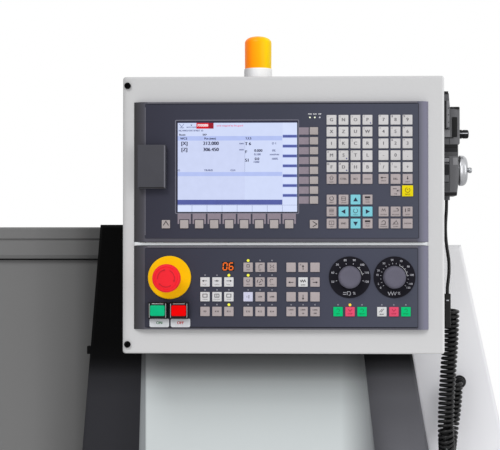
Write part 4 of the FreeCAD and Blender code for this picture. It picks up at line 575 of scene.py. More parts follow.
def flat(outline, y):
    """One flat face at a depth, seen from the front."""
    points = at_depth(outline, y)
    x, z = points[:, 0], points[:, 2]
    area = np.sum(x * np.roll(z, -1) - np.roll(x, -1) * z)
    order = list(range(len(points)))
    return points, [order if area > 0 else order[::-1]]


def band_between(inner, outer, y):
    """Flat face between two closed outlines of equal count, seen from the front."""
    i = np.arange(len(inner))
    j = (i + 1) % len(inner)
    faces = np.stack([j, i, i + len(inner), j + len(inner)], axis=1).tolist()
    return at_depth(np.concatenate([inner, outer]), y), faces


def stroke(line, width, y, closed=False):
    """Ribbon of even width along a line of points: each point is offset both ways along its normal.

    The normal stands across the mean of the two directions at the point, and is stretched there by
    one over the cosine of half the turn, at most to twice its length.
    """
    line = np.asarray(line, float)
    if closed:
        ahead, behind = np.roll(line, -1, axis=0), np.roll(line, 1, axis=0)
    else:
        ahead = np.concatenate([line[1:], 2 * line[-1:] - line[-2:-1]])
        behind = np.concatenate([2 * line[:1] - line[1:2], line[:-1]])
    out, into = ahead - line, line - behind
    out = out / np.linalg.norm(out, axis=1, keepdims=True)
    into = into / np.linalg.norm(into, axis=1, keepdims=True)
    mean = out + into
    mean = mean / np.maximum(np.linalg.norm(mean, axis=1, keepdims=True), 1e-6)
    normal = np.stack([-mean[:, 1], mean[:, 0]], axis=1)
    stretch = 1 / np.maximum(np.abs(np.sum(mean * out, axis=1, keepdims=True)), 0.5)
    offset = normal * stretch * width / 2
    count = len(line)
    i = np.arange(count if closed else count - 1)
    j = (i + 1) % count
    faces = np.stack([i, j, j + count, i + count], axis=1).tolist()
    return at_depth(np.concatenate([line - offset, line + offset]), y), faces


lettering_cache = {}


def glyphs(text):
    """Flat mesh of a word in the built-in font, one unit high and centred: points and faces."""
    if text not in lettering_cache:
        curve = bpy.data.curves.new("word", "FONT")
        curve.body = text
        curve.align_x, curve.align_y = "CENTER", "CENTER"
        curve.resolution_u = 3
        holder = bpy.data.objects.new("word", curve)
        bpy.context.scene.collection.objects.link(holder)
        mesh = bpy.data.meshes.new_from_object(holder)
        points = np.empty(len(mesh.vertices) * 3)
        mesh.vertices.foreach_get("co", points)
        faces = [list(p.vertices) for p in mesh.polygons]
        lettering_cache[text] = (points.reshape(-1, 3)[:, :2].copy(), faces)
        bpy.data.objects.remove(holder)
        bpy.data.curves.remove(curve)
        bpy.data.meshes.remove(mesh)
    return lettering_cache[text]


def word(text, x, z, size, y, bold=0.0):
    """A word printed at a place; bold widens it by printing it twice, a little apart."""
    letters, faces = glyphs(text)
    points, all_faces = [], []
    for k, shift in enumerate((-bold / 2, bold / 2) if bold else (0.0,)):
        points.append(at_depth(letters * size + [x + shift, z], y - k * 0.02))
        all_faces += [[i + k * len(letters) for i in face] for face in faces]
    return np.concatenate(points), all_faces


class Surface:
    """Collects parts that share a material, in the station's millimetres, into one mesh piece.

    What is printed lies at the depth y, or before it by a small lift where it covers another print.
    """

    def __init__(self, y=film_print):
        self.y = y
        self.points, self.faces, self.count = [], [], 0

    def add(self, points, faces):
        self.faces += [[i + self.count for i in face] for face in faces]
        self.points.append(np.asarray(points, float))
        self.count += len(points)

    def cap(self, *measures, **more):
        self.add(*domed_cap(*measures, **more))

    def turn(self, *measures, **more):
        self.add(*turned(*measures, **more))

    def facing(self, profile, x, z, steps):
        """Turned about a line along Y: profile is (depth, radius) pairs from the rear forwards."""
        self.turn([(-depth, radius) for depth, radius in profile], (x, 0, z), FORWARDS, TO_RIGHT,
                  steps)

    def fill(self, outline, lift=0.0):
        self.add(*flat(outline, self.y - lift))

    def line(self, points, width, closed=False, lift=0.0):
        self.add(*stroke(points, width, self.y - lift, closed))

    def word(self, text, x, z, size, bold=0.0, lift=0.0):
        self.add(*word(text, x, z, size, self.y - lift, bold))

    def piece(self, name, material, body="machine", sharp=None):
        """The piece in metres, riding on a body; with sharp it is smooth up to that angle."""
        mesh = bpy.data.meshes.new(name)
        places = ORIGIN + MM * np.concatenate(self.points)
        mesh.from_pydata(places.tolist(), [], self.faces)
        mesh.materials.append(material)
        mesh.validate()
        if sharp:
            mesh.shade_smooth()
            mesh.set_sharp_from_angle(angle=math.radians(sharp))
        thing = bpy.data.objects.new(name, mesh)
        bpy.context.scene.collection.objects.link(thing)
        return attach(thing, body)


def sheets(count, y=film_print):
    """Several empty surfaces whose prints lie at one depth."""
    return [Surface(y) for _ in range(count)]


# ---------------------------------------------------------------- fronts of the two units
film_left, film_right = -196.2, 192.4
machine_film_right = film_right - 1.4
screen_film, machine_film = (-33.0, 158.0), (-160.0, -48.0)     # foot and head
film_corner, groove_width, groove_corner = 1.6, 1.1, 2.2
fold_left, fold_right = unit_low[0] + 20, unit_high[0] - 16


def unit_films():
    """Slate film on each unit with a dark line round it that paints the shade of the groove there;
    the screen's leaves the pane open.
    """
    film, groove = sheets(2)
    window = rounded_outline(*pane_size, 0.5) + pane_middle
    for (low, high), right in ((screen_film, film_right), (machine_film, machine_film_right)):
        width, height = right - film_left, high - low
        centre = [(film_left + right) / 2, (low + high) / 2]
        outline = rounded_outline(width, height, film_corner) + centre
        border = rounded_outline(width + 2 * groove_width, height + 2 * groove_width,
                                 groove_corner) + centre
        groove.add(*band_between(outline, border, film_print))
        if low == screen_film[0]:
            film.add(*band_between(window, outline, film_print - 0.04))
        else:
            film.fill(outline, lift=0.04)
    film.piece("unit_films", INK["film"])
    groove.piece("unit_film_grooves", INK["groove"])


def unit_folds():
    """Painted light and shade on the folds at the top and foot of each unit, a painted highlight
    line, and the bead between them.
    """
    top_fold, low_fold, light, bead = sheets(4)
    # painted light along the top fold and painted shade along the foot of each unit
    for low, high in ((unit_low[2], unit_high[2]), (screen_unit_low[2], screen_unit_high[2])):
        low_fold.fill(rectangle(fold_left, fold_right, low, low + 3.4))
        top_fold.fill(rectangle(fold_left, fold_right, high - 3.2, high))
    # painted highlight along the left edge of the screen unit's film
    light.fill(rectangle(film_left - 1.0, film_left - 0.2, screen_film[0] + 4, screen_film[1] - 4),
               lift=0.06)
    width, gap = unit_high[0] - unit_low[0], screen_unit_low[2] - unit_high[2]
    bead.cap(width - 3, gap - 0.7, film_y + 2.6, 0.0, 0.6, 1.6,
             (unit_low[0] + unit_high[0]) / 2, (unit_high[2] + screen_unit_low[2]) / 2)
    top_fold.piece("unit_top_folds", INK["fold_top"])
    low_fold.piece("unit_low_folds", INK["fold_low"])
    light.piece("screen_unit_light_line", INK["edge_highlight"])
    bead.piece("bead_between_units", PAINT["bead"], sharp=40)


unit_films()
unit_folds()


# ---------------------------------------------------------------- keys
def port_cover():
    """Lid over the ports: a bevelled slab with a painted highlight on its right edge and a black
    lower lip that paints the shadow under it.
    """
    low, high = station_box("usb_cover")
    (x, z), (width, height) = across("usb_cover")
    lid, rim, lip = sheets(3)
    lid.cap(width, height, low[1], high[1], 1.2, 1.1, x, z)
    # painted highlight on the right edge, and painted shadow along the foot
    rim.cap(1.5, height - 2.4, low[1] - 0.15, low[1] + 0.8, 0.3, 0.2, high[0] - 1.7, z)
    lip.cap(width - 3.0, 1.3, low[1] - 0.15, low[1] + 0.8, 0.3, 0.2, x, low[2] + 1.5)
    piece = lid.piece("port_cover_lid", PLASTIC["port"], "port_flap", sharp=35)
    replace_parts(piece, "usb_cover")
    rim.piece("port_cover_rim_highlight", INK["edge_highlight"], "port_flap", sharp=35)
    lip.piece("port_cover_shadow_lip", PLASTIC["black"], "port_flap", sharp=35)


port_cover()


def grid(xs, zs):
    """Every crossing of the columns and rows."""
    return [(x, z) for x in xs for z in zs]


def key_caps(name, material, stands_for, beds):
    """One piece of short-stroke keys with rounded corners and edges, in place of a CAD node.

    Each bed is its keys' width and height and the places of their middles.
    """
    caps = Surface()
    for width, height, places in beds:
        for x, z in places:
            caps.cap(width, height, key_y, film_y, key_corner, key_edge, x, z)
    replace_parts(caps.piece(name, material, sharp=40), stands_for)


def character_keys():
    """Letter and digit keys."""
    places = grid(letter_columns, letter_rows) + grid(digit_columns, letter_rows)
    key_caps("character_key_caps", PLASTIC["key_light"], "character_keys",
             [(key_size, key_size, places)])


def command_keys():
    """Grey command keys, softkeys, menu and cursor keys, and the yellow input key."""
    grey = (grid(letter_columns + digit_columns, [command_row]) + [(digit_columns[1], tab_row)]
            + grid(digit_columns, cursor_rows[1:]))
    key_caps("command_key_caps", PLASTIC["key_grey"], "command_keys", [(key_size, key_size, grey)])
    row = grid([recall_x] + softkey_x + [side_key_x], [softkey_row])
    key_caps("softkey_caps", PLASTIC["softkey"], "command_keys",
             [(softkey_size, softkey_size, row),
              (softkey_size, side_key_height, grid([side_key_x], side_key_rows))])
    menu = [(0, 0), (1, 0), (3, 0), (0, 1), (0, 2), (1, 2), (3, 2)]
    arrows = [(2, 0), (1, 1), (2, 1), (3, 1), (2, 2)]
    for name, material, keys in (("menu_key_caps", "key_grey", menu),
                                 ("cursor_key_caps", "key_cursor", arrows)):
        places = [(letter_columns[c], cursor_rows[r]) for c, r in keys]
        key_caps(name, PLASTIC[material], "cursor_keys", [(key_size, key_size, places)])
    key_caps("input_key_cap", PLASTIC["key_yellow"], "input_key",
             [(input_key_size, input_key_size, [(digit_columns[2], tab_row)])])


def character_legends():
    """Letters and digits, small shift marks and a few blue marks."""
    main, small, blue = sheets(3, key_print)
    for xs, rows in ((letter_columns, ("GNOP", "XZUW", "IKCR", "MSTL", "FDHB")),
                     (digit_columns, ("789", "456", "123", "-0.", "/=+"))):
        for z, row in zip(letter_rows, rows):
            for x, mark in zip(xs, row):
                main.word(mark, x, z, 6.7, bold=0.45)
    for xs, rows, size, bold in (
            (letter_columns, ("~(){", ";:\"}", "'[]_", "&!?,", "@#|\\"), 3.6, 0.2),
            (digit_columns, ("^$%", "<>*", "\"&=", "_ '", "\\| "), 4.0, 0.35)):
        for z, row in zip(letter_rows, rows):
            for x, mark in zip(xs, row):
                if mark != " ":
                    small.word(mark, x - 4.8, z + 4.8, size, bold)
    for x, z in ((letter_columns[3], letter_rows[0]), (letter_columns[1], letter_rows[3]),
                 (letter_columns[1], letter_rows[4])):
        blue.line([(x + 3.4, z - 4.8), (x + 5.4, z - 4.8)], 0.9)
        blue.line([(x + 4.4, z - 5.6), (x + 4.4, z - 3.4)], 0.9)
    main.piece("character_legends", INK["key_letter"])
    small.piece("shift_marks", INK["legend_faint"])
    blue.piece("blue_marks", INK["legend_blue"])


def command_legends():
    """Words and line icons on the command keys."""
    soft, dark, warm = sheets(3, key_print)
    x, z = letter_columns, command_row
    arrow = np.array([(0, 4.4), (3, 1.2), (1.4, 1.2), (1.4, -1.6), (-1.4, -1.6), (-1.4, 1.2),
                      (-3, 1.2)])
    soft.line(arrow * 0.95 + [x[0], z + 0.4], 0.5, closed=True)
    soft.word("SHIFT", x[0], z - 4.4, 2.3)
    soft.word("CTRL", x[1], z, 3.8, bold=0.2)
    soft.word("ALT", x[2], z, 3.8, bold=0.2)
    soft.line([(x[3] - 4.6, z), (x[3] + 4.6, z)], 0.8)
    x = digit_columns
    dark.fill(triangle(x[0] - 2.6, z + 1.8, 1.9, 270))
    dark.line([(x[0] - 2, z + 1.8), (x[0] + 4, z + 1.8)], 0.8)
    soft.word("BACK", x[0], z - 2.6, 2.5)
    soft.word("DEL", x[1], z, 3.8, bold=0.2)
    dark.fill(triangle(x[2], z + 0.4, 1.7, 180))
    dark.line([(x[2], z + 4.2), (x[2], z + 0.8)], 0.7)
    soft.word("INSERT", x[2], z - 4.2, 2.2)
    z = tab_row
    dark.line([(x[1] - 4, z + 3), (x[1] + 1.6, z + 3)], 0.8)
    dark.fill(triangle(x[1] + 2.6, z + 0.2, 1.7, 90))
    dark.line([(x[1] + 4.8, z + 1.8), (x[1] + 4.8, z - 1.4)], 0.6)
    soft.word("TAB", x[1], z - 4.4, 2.5)
    warm.line(arc_points(x[2], z + 1.2, 3.4, 40, 350), 0.8)
    warm.line([(x[2] - 1.4, z + 1.2), (x[2] + 1.0, z + 3.0)], 0.8)
    warm.word("INPUT", x[2], z - 5.0, 2.6, bold=0.15)
    soft.piece("command_legends", INK["legend"])
    dark.piece("command_arrows", INK["legend_dark"])
    warm.piece("input_legend", INK["legend_warm"])


def cursor_legends():
    """Arrows and ring on the cursor keys, and the icons of the menu keys at their left."""
    soft, dark, arrows = sheets(3, key_print)
    x, (top, middle, low) = letter_columns, cursor_rows
    for px, pz, pointing in ((x[2], top - 0.6, 0), (x[2], low + 0.6, 180),
                             (x[1] + 0.6, middle, 270), (x[3] - 0.6, middle, 90)):
        arrows.fill(triangle(px, pz, 3.9, pointing))
    soft.line(arc_points(x[2], middle + 1.0, 3.0, 25, 335), 0.7)
    soft.line(arc_points(x[0], top + 1.6, 2.8, 0, 330), 0.8)
    soft.line(box_icon(x[1], top + 1.4, 5.4, 5.0), 0.6, closed=True)
    soft.line([(x[1] - 2.7, top + 1.4), (x[1] + 2.7, top + 1.4)], 0.5)
    for z in (top, low):
        soft.fill(rectangle(x[3] - 3.8, x[3] + 3.8, z + 1.8, z + 4.6))
        soft.line([(x[3] - 3, z - 0.4), (x[3] + 3, z - 0.4)], 0.6)
        soft.word("PAGE", x[3], z - 3.6, 2.3)
    for rise in (3.4, 1.5, -0.4):
        soft.line([(x[0] - 3.6, middle + rise), (x[0] + 3.6, middle + rise)], 0.7)
    soft.line(box_icon(x[0], low + 1.0, 6.6, 5.2), 0.6, closed=True)
    soft.word("i", x[0], low + 1.0, 4.0, bold=0.3)
    for text, px, pz, size in (("SELECT", x[2], middle - 4.6, 2.0), ("RESET", x[0], top - 4.2, 2.3),
                               ("GROUP", x[1], top - 4.4, 2.3), ("MENU", x[0], middle - 4.0, 2.3),
                               ("HELP", x[0], low - 4.4, 2.2)):
        soft.word(text, px, pz, size)
    soft.word("END", x[1], low, 3.6, bold=0.2)
    menu_legends(soft, dark)
    soft.piece("cursor_icons", INK["legend"])
    dark.piece("menu_icons", INK["legend_dark"])
    arrows.piece("cursor_arrows", INK["arrow"])


def menu_legends(soft, dark):
    """Icons and words on the six menu keys below the digits."""
    (left, centre, right), (_, z, low) = digit_columns, cursor_rows
    dark.line([(left - 2.6, z), (left - 1.6, z + 4), (left, z + 1), (left + 1.6, z + 4),
               (left + 2.6, z)], 0.7)
    soft.line([(centre - 3.4, z + 0.6), (centre + 1.6, z + 0.6)], 0.6)
    dark.line(arc_points(centre + 1.8, z + 2.2, 2.0, -20, 160), 0.9)
    dark.line([(right - 3.2, z + 4.4), (right - 3.2, z - 0.6)], 1.0)
    dark.line([(right - 0.4, z + 0.8), (right + 3.6, z + 0.8)], 0.8)
    dark.line(box_icon(right + 1.8, z + 3.2, 2.8, 2.2), 0.6, closed=True)
    dark.line(arc_points(left, low + 1.4, 2.6, -90, 150), 0.8)
    dark.line([(left - 4, low - 1.2), (left + 3, low - 1.2)], 0.7)
    soft.line(triangle(centre + 0.8, low + 0.8, 3.4, 0), 0.6, closed=True)
    soft.line([(centre - 4, low - 2), (centre - 1.6, low + 2.4)], 0.7)
    for text, px, pz in (("MACHINE", left, z), ("PROGRAM", centre, z), ("OFFSET", right, z),
                         ("MANAGER", left, low), ("ALARM", centre, low)):
        soft.word(text, px, pz - 4.4, 2.1)
    soft.word("CUSTOM", right, low, 2.5, bold=0.15)


def softkey_prints():
    """Printed tabs behind the softkeys and the outlined recall and extend arrows."""
    tabs, gaps = sheets(2)
    marks = Surface(key_print)
    tab_top, tab_foot, side_tab_x = 1.7, -13.0, 30.1
    for x in softkey_x:
        tabs.fill(rounded_outline(19.0, tab_top - tab_foot, 0.8) + [x, (tab_top + tab_foot) / 2],
                  lift=0.08)
        gaps.fill(box_icon(x, softkey_row, 14.2, 14.0), lift=0.14)
    for z in side_key_rows:
        tabs.fill(rounded_outline(15.0, 10.2, 0.8) + [side_tab_x, z], lift=0.08)
        gaps.fill(rectangle(37.0, 50.2, z - 6.2, z + 6.2), lift=0.14)
    for x, turn in ((recall_x, 0), (side_key_x, 90)):
        marks.line(arc_points(x, softkey_row, 4.2, turn - 115, turn + 115, 2), 1.1)
    tabs.piece("softkey_tabs", INK["tab"])
    gaps.piece("softkey_gaps", INK["film"])
    marks.piece("softkey_marks", INK["legend_dark"])


character_keys()
character_legends()
command_keys()
command_legends()
cursor_legends()
softkey_prints()


# ---------------------------------------------------------------- screen and its picture
class Page:
    """The screen's picture, laid out from its top-left corner: across to the right, then down."""

    def __init__(self, names):
        self.left, self.top = screen_low[0], screen_high[2]
        self.sheets = {name: Surface(screen_low[1] - print_lift) for name in names}

    def area(self, kind, x0, x1, down0, down1, lift=0.0):
        outline = rectangle(self.left + x0, self.left + x1, self.top - down1, self.top - down0)
        self.sheets[kind].fill(outline, lift)

    def text(self, kind, words, x, down, size, bold=0.0):
        self.sheets[kind].word(words, self.left + x, self.top - down, size * 1.06, bold + 0.25, 0.1)


def screen_fields(page):
    """Coloured areas of the picture: status bar, value field, softkey row, column at the right; and
    painted shadow of the bezel's lip along the pane's top and left.
    """
    width, column, rule = 150.6, 151.0, 0.2
    page.area("field", 0.4, 97.0, 27.0, 111.4)
    for down0, down1 in ((20.6, 27.0), (72.0, 77.8)):
        page.area("band", 0.4, 150.4, down0, down1, 0.02)
    page.area("red", 27.8, 45.4, 0.6, 10.0, 0.02)
    page.area("dark_red", 45.4, 52.4, 0.6, 10.0, 0.02)
    page.area("soft_ink", 96.9, 97.2, 27.4, 72.0)
    page.area("bar", 0.2, width, 111.6, 118.7)
    step = width / 7
    for i in range(8):
        page.area("cell", 0.3 + step * i, step * (i + 1) - 0.25, 119.5, 128.8)
    page.area("soft_ink", 0.2, 171.6, 119.2, 119.5, 0.01)
    for i in range(1, 8):
        page.area("soft_ink", step * i - rule, step * i + rule, 119.5, 128.8, 0.03)
    page.area("cell", column, 171.6, 0.4, 118.6)
    for i in range(7):
        down = 18.6 + 14.07 * i
        page.area("band", column, 171.4, down, down + 5.0, 0.04)
        page.area("bar", column + 0.2, 171.4, down + 0.8, down + 4.3, 0.08)
    # Painted shadow: dark strips along the top and left of the pane, where the bezel's lip shades it,
    # in the screen's ink.
    page.area("ink", 0.0, 171.8, 0.0, 1.7, 0.12)
    page.area("ink", 0.0, 1.1, 1.7, 129.0, 0.12)


def screen_words(page):
    """Words and figures of the picture: rows of ink, words, place across, down, size, weight."""
    rows = [("white", "700000", 36.6, 5.4, 4.9, 0.5),
            ("pink", "cycle stopped by the guard", 75.5, 5.8, 3.3, 0.0),
            ("soft_ink", "chan", 7.0, 8.4, 3.0, 0.0), ("ink", "v", 20.6, 4.6, 4.4, 0.0),
            ("soft_ink", "AUTO RUN", 20.6, 8.0, 2.6, 0.0),
            ("soft_ink", "NC/WKS/TEST/PART 10", 19.8, 12.9, 3.2, 0.2),
            ("ink", "Reset", 7.6, 18.7, 3.7, 0.2), ("ink", "SKP", 39.6, 18.7, 3.4, 0.2),
            ("ink", "WCS", 9.6, 24.2, 4.2, 0.3), ("ink", "Pos (mm)", 47.4, 24.2, 4.0, 0.2),
            ("ink", "T,F,S", 102.2, 24.2, 4.0, 0.2)]
    for axis, value, down in (("[X]", "212.000", 31.2), ("[Z]", "306.450", 40.0)):
        rows += [("ink", axis, 10.6, down, 6.6, 0.5), ("ink", value, 48.6, down, 6.6, 0.5),
                 ("soft_ink", "mm", 92.4, down, 4.0, 0.2)]
    rows += [("ink", words, x, down, size, 0.4) for words, x, down, size in (
        ("T 6", 101.6, 31.8, 6.0), ("F", 99.0, 43.4, 5.6), ("S1", 100.4, 55.4, 6.0),
        ("0.000", 116.4, 41.6, 5.0), ("0.0", 114.4, 53.4, 5.0))]
    rows += [("soft_ink", words, x, down, 4.0, 0.25) for words, x, down in (
        ("D 1", 139.0, 31.4), ("0.180", 115.0, 47.0), ("1200", 113.4, 57.8), ("0%", 138.6, 41.6),
        ("mm/rev", 139.4, 47.0), ("100%", 139.8, 53.4))]
    rows += [("soft_ink", words, x, 69.6, 3.8, 0.3) for words, x in (
        ("G", 2.8), ("TRANS", 45.0), ("G54", 80.0))]
    for kind, words, x, down, size, bold in rows:
        page.text(kind, words, x, down, size, bold)
    arrow = [(page.left + x, page.top - down) for x, down in ((3.2, 3.0), (6.6, 7.2), (10.0, 3.0))]
    page.sheets["soft_ink"].line(arrow, 0.7, lift=0.1)


def screen_picture():
    """Picture on the pane: one piece for each of its inks."""
    page = Page(("field", "band", "bar", "cell", "ink", "soft_ink", "red", "dark_red", "pink",
                 "white"))
    screen_fields(page)
    screen_words(page)
    for name, surface in page.sheets.items():
        surface.piece("screen_" + name, LIT[name])


def screen_border():
    """Dark edge round the pane in painted shade, and the thin pale bead outside it."""
    for name, material, margin, corner, width in (("screen_edge_painted_shade", "groove", 1.4, 0.8, 1.7),
                                                  ("screen_bead", "line", 4.2, 1.4, 1.1)):
        frame_line = Surface()
        frame_line.line(rounded_outline(*(pane_size + margin), corner) + pane_middle, width,
                        closed=True, lift=0.06)
        frame_line.piece(name, INK[material])


def lamp(surface, x, z, radius):
    """Round lamp lens, a little proud of the film: rings along a quarter circle."""
    angles = np.linspace(0, math.pi / 2, 4)[:-1]
    profile = [(film_y, radius)] + [(film_y - 0.6 * math.sin(a) - 0.1, radius * math.cos(a))
                                    for a in angles]
    surface.facing(profile, x, z, steps=16)


def screen_lamps():
    """Three lamps above the screen's right corner, with their marks; the last is unlit."""
    lit_lamps, unlit = sheets(2)
    marks = Surface(film_y - 0.2)
    lamp_row, mark_row = 138.7, 143.4
    for surface, x, mark in ((lit_lamps, 38.6, "PWR"), (lit_lamps, 45.6, "RUN"),
                             (unlit, 52.6, "TMP")):
        lamp(surface, x, lamp_row, 1.2)
        marks.word(mark, x, mark_row, 2.4, bold=0.25)
    lit_lamps.piece("screen_lamps_lit", LIT["lamp_pale"], sharp=EVERY_EDGE_SMOOTH)
    unlit.piece("screen_lamp_unlit", INK["lamp_dim"], sharp=EVERY_EDGE_SMOOTH)
    marks.piece("screen_lamp_marks", INK["white"])


screen_picture()
screen_border()
screen_lamps()


# ---------------------------------------------------------------- machine keys
def machine_field():
    """Caps of the machine keys by colour."""
    low = machine_rows[3]
    white = grid(group_a, machine_rows[1:3]) + [(group_c[1], machine_rows[1]), (group_e[0], low)]
    blue = [(group_b[0], machine_rows[2])]
    grey = grid(group_a, [low]) + [place for place in grid(group_b + group_c, machine_rows)
                                   if place not in white + blue]
    green = [(x, low) for x in (group_d[0], group_d[2], group_e[2])]
    red = [(x, low) for x in (group_d[1], group_e[1])]
    for name, material, node, places in (("machine_key_caps", "key_grey", "machine_keys", grey),
                                         ("machine_white_caps", "key_white", "machine_keys", white),
                                         ("machine_blue_cap", "key_blue", "machine_keys", blue),
                                         ("start_key_caps", "key_green", "start_keys", green),
                                         ("stop_key_caps", "key_red", "stop_keys", red)):
        key_caps(name, PLASTIC[material], node, [(machine_size, machine_size, places)])


def machine_lamps():
    """Lamps above the machine keys that have one; four are lit yellow and one orange."""
    yellow, orange, off = sheets(3)
    rise, large, small = 9.6, 2.0, 1.2
    lit_places = [(group_a[2], 1), (group_a[2], 3), (group_b[0], 0), (group_b[0], 1)]
    stop_place = (group_d[1], 3)
    for group, rows in ((group_a, (1, 2, 3)), (group_b, (0, 1, 2, 3)), (group_c, (3,)),
                        (group_d, (3,)), (group_e, (3,))):
        for x, row in grid(group, rows):
            z = machine_rows[row] + rise
            if (x, row) in lit_places:
                lamp(yellow, x, z, large)
            elif (x, row) == stop_place:
                lamp(orange, x, z, large)
            else:
                lamp(off, x, z, small)
    yellow.piece("machine_lamps_lit", LIT["lamp_yellow"], sharp=EVERY_EDGE_SMOOTH)
    orange.piece("stop_lamp_lit", LIT["lamp_orange"], sharp=EVERY_EDGE_SMOOTH)
    off.piece("machine_lamps_unlit", INK["lamp_off"], sharp=EVERY_EDGE_SMOOTH)


def tool_group_legends(soft, dark):
    """Keys at the left: arrows over the turret's words, housings over chuck, coolant and door."""
    upper, lower, foot = machine_rows[1:]
    for x, shift, pointing, text in zip(group_a, (-2.6, 0, 2.6), (270, 0, 90),
                                        ("TOOL -", "TURRET", "TOOL +")):
        dark.line([(x - 3.4, upper + 1.6), (x + 3.0, upper + 1.6)], 0.8)
        dark.fill(triangle(x + shift, upper + 1.6, 1.8, pointing))
        soft.word(text, x, upper - 3.8, 2.0)
    for x, text in zip(group_a, ("CHUCK", "COOLANT", "DOOR")):
        dark.line(box_icon(x, lower + 1.6, 6.0, 4.4), 0.9, closed=True)
        soft.word(text, x, lower - 3.8, 2.0)
    dark.line([(group_a[1], lower + 3.8), (group_a[1], lower - 0.6)], 0.8)
    for x, text in zip(group_a + group_b, ("K9", "K10", "K11", "K12", "K13", "K14")):
        soft.word(text, x, foot, 3.4, bold=0.2)


def mode_group_legends(soft, dark):
    """Keys of the modes: jog, reference, automatic, manual input, single block and the steps."""
    top, middle, low, _ = machine_rows
    left, centre, right = group_b
    soft.line(box_icon(left, top + 2.0, 3.6, 3.6), 0.7, closed=True)
    hook = arc_points(centre + 0.8, top + 1.6, 2.4, -90, 30, 6)
    soft.line(np.concatenate([hook, [(centre + 3.4, top + 4.0)]]), 0.7)
    soft.line([(centre - 1.6, top + 1.6), (centre - 1.6, top - 2.0)], 0.7)
    for x0, x1 in ((-3, -1), (3, 1)):
        soft.line([(right + x0, top + 3.8), (right + x1, top + 1.2), (right + x0, top - 1.4)], 0.7)
    soft.line(arc_points(left, middle + 2.0, 2.0, 30, 330), 0.7)
    for turn in (0, 120, 240):
        dark.line(arc_points(centre, middle + 0.2, 4.0, turn + 15, turn + 85, 6), 0.8)
    dark.line([(centre - 1.4, middle - 1.4), (centre + 1.6, middle + 1.6)], 0.8)
    soft.line(arc_points(right - 0.5, middle + 1.8, 2.4, -150, 60), 0.7)
    dark.word("1", left - 1.6, low, 3.6, bold=0.2)
    dark.line([(left + 1.2, low + 2.4), (left + 1.2, low - 2.4)], 0.8)
    for text, x in (("x10", centre), ("x100", right)):
        dark.word(text, x, low, 3.2, bold=0.25)
    for text, x, z, size in (("JOG", left, top - 3.6, 2.4), ("REF", centre, top - 4.0, 2.4),
                             ("AUTO", right, top - 4.0, 2.4), ("MDI", left, middle - 3.6, 2.4),
                             ("SINGLE", right, middle - 3.8, 2.0)):
        soft.word(text, x, z, size)


def axis_group_legends(soft, dark):
    """Keys that move the axes: four arrows round the rapid key, and the ranges below them."""
    top, middle, low, foot = machine_rows
    left, centre, right = group_c
    for x, z, way in ((centre, top, 0), (centre, low, 180), (left, middle, 270),
                      (right, middle, 90)):
        reach = np.array([math.sin(math.radians(way)), math.cos(math.radians(way))])
        start = np.array([x, z - 0.4])
        tip = start + reach * 2.2
        dark.line([start - reach * 3.4, start + reach * 1.4], 0.9)
        dark.fill(triangle(tip[0], tip[1], 1.9, way))
    soft.word("-X", centre - 3.8, top + 3.6, 3.0)
    soft.word("+Z", right - 3.6, middle + 3.8, 3.0)
    wave = np.array([(-4.6, 2.4), (-3.0, -0.6), (-1.4, 2.4), (0.2, -0.6), (1.8, 2.4), (3.4, -0.6)])
    dark.line(wave + [centre + 0.4, middle + 0.6], 1.0)
    soft.word("RAPID", centre, middle - 4.2, 2.3, bold=0.15)
    for x, text in zip(group_c, ("1", "10", "100")):
        dark.word("S-RNG", x, foot + 2.4, 2.4, bold=0.2)
        soft.word(text, x, foot - 2.6, 3.0, bold=0.2)


def start_stop_legends(soft, dark):
    """Words and curls on the green start keys, ticks on the red ones, and the reset key."""
    green, red = sheets(2, key_print)
    z, reset_x = machine_rows[3], group_e[0]
    for x, text in ((group_d[0], "LEFT"), (group_d[2], "RIGHT"), (group_e[2], "START")):
        green.line(arc_points(x, z + 2.0, 2.0, -80, 160, 8), 0.8)
        green.word(text, x, z - 3.0, 2.6, bold=0.2)
    for x in (group_d[1], group_e[1]):
        red.line([(x - 2.6, z + 3.4), (x, z + 0.6), (x + 2.6, z + 3.4)], 0.9)
        red.word("STOP", x, z - 3.0, 2.8, bold=0.2)
    for shift in (-3.6, -1.2):
        dark.line([(reset_x + shift, z - 0.6), (reset_x + shift + 4.4, z + 4.2)], 0.7)
    soft.word("RESET", reset_x, z - 3.8, 2.4, bold=0.2)
    return green, red


def machine_legends():
    """Icons of the machine keys: housings, waves, arrows and short words."""
    dark, soft = sheets(2, key_print)
    tool_group_legends(soft, dark)
    mode_group_legends(soft, dark)
    axis_group_legends(soft, dark)
    green, red = start_stop_legends(soft, dark)
    dark.piece("machine_icons", INK["legend_dark"])
    soft.piece("machine_words", INK["legend"])
    green.piece("start_legends", INK["legend_green"])
    red.piece("stop_legends", INK["legend_red"])


def tool_digits():
    """Two seven-segment digits: each segment is a short bar between corner points."""
    half_width, half_height, gap, slant = 2.7, 4.9, 0.5, 0.08
    segments = {"a": ((-1, 1), (1, 1)), "b": ((1, 1), (1, 0)), "c": ((1, 0), (1, -1)),
                "d": ((-1, -1), (1, -1)), "e": ((-1, 0), (-1, -1)), "f": ((-1, 1), (-1, 0)),
                "g": ((-1, 0), (1, 0))}
    bars = Surface(station_box("tool_number_display")[0][1] - print_lift)
    (middle_x, middle_z), _ = across("tool_number_display")
    for x, lit_segments in ((middle_x - 4.4, "abcdef"), (middle_x + 4.2, "acdefg")):
        for name in lit_segments:
            a, b = np.array(segments[name], float) * [half_width, half_height]
            along = (b - a) / np.linalg.norm(b - a)
            ends = np.array([a + along * gap, b - along * gap])
            ends[:, 0] += ends[:, 1] * slant
            bars.line(ends + [x, middle_z], 1.5)
    bars.piece("tool_digits", LIT["digits"])


machine_field()
machine_lamps()
machine_legends()
tool_digits()


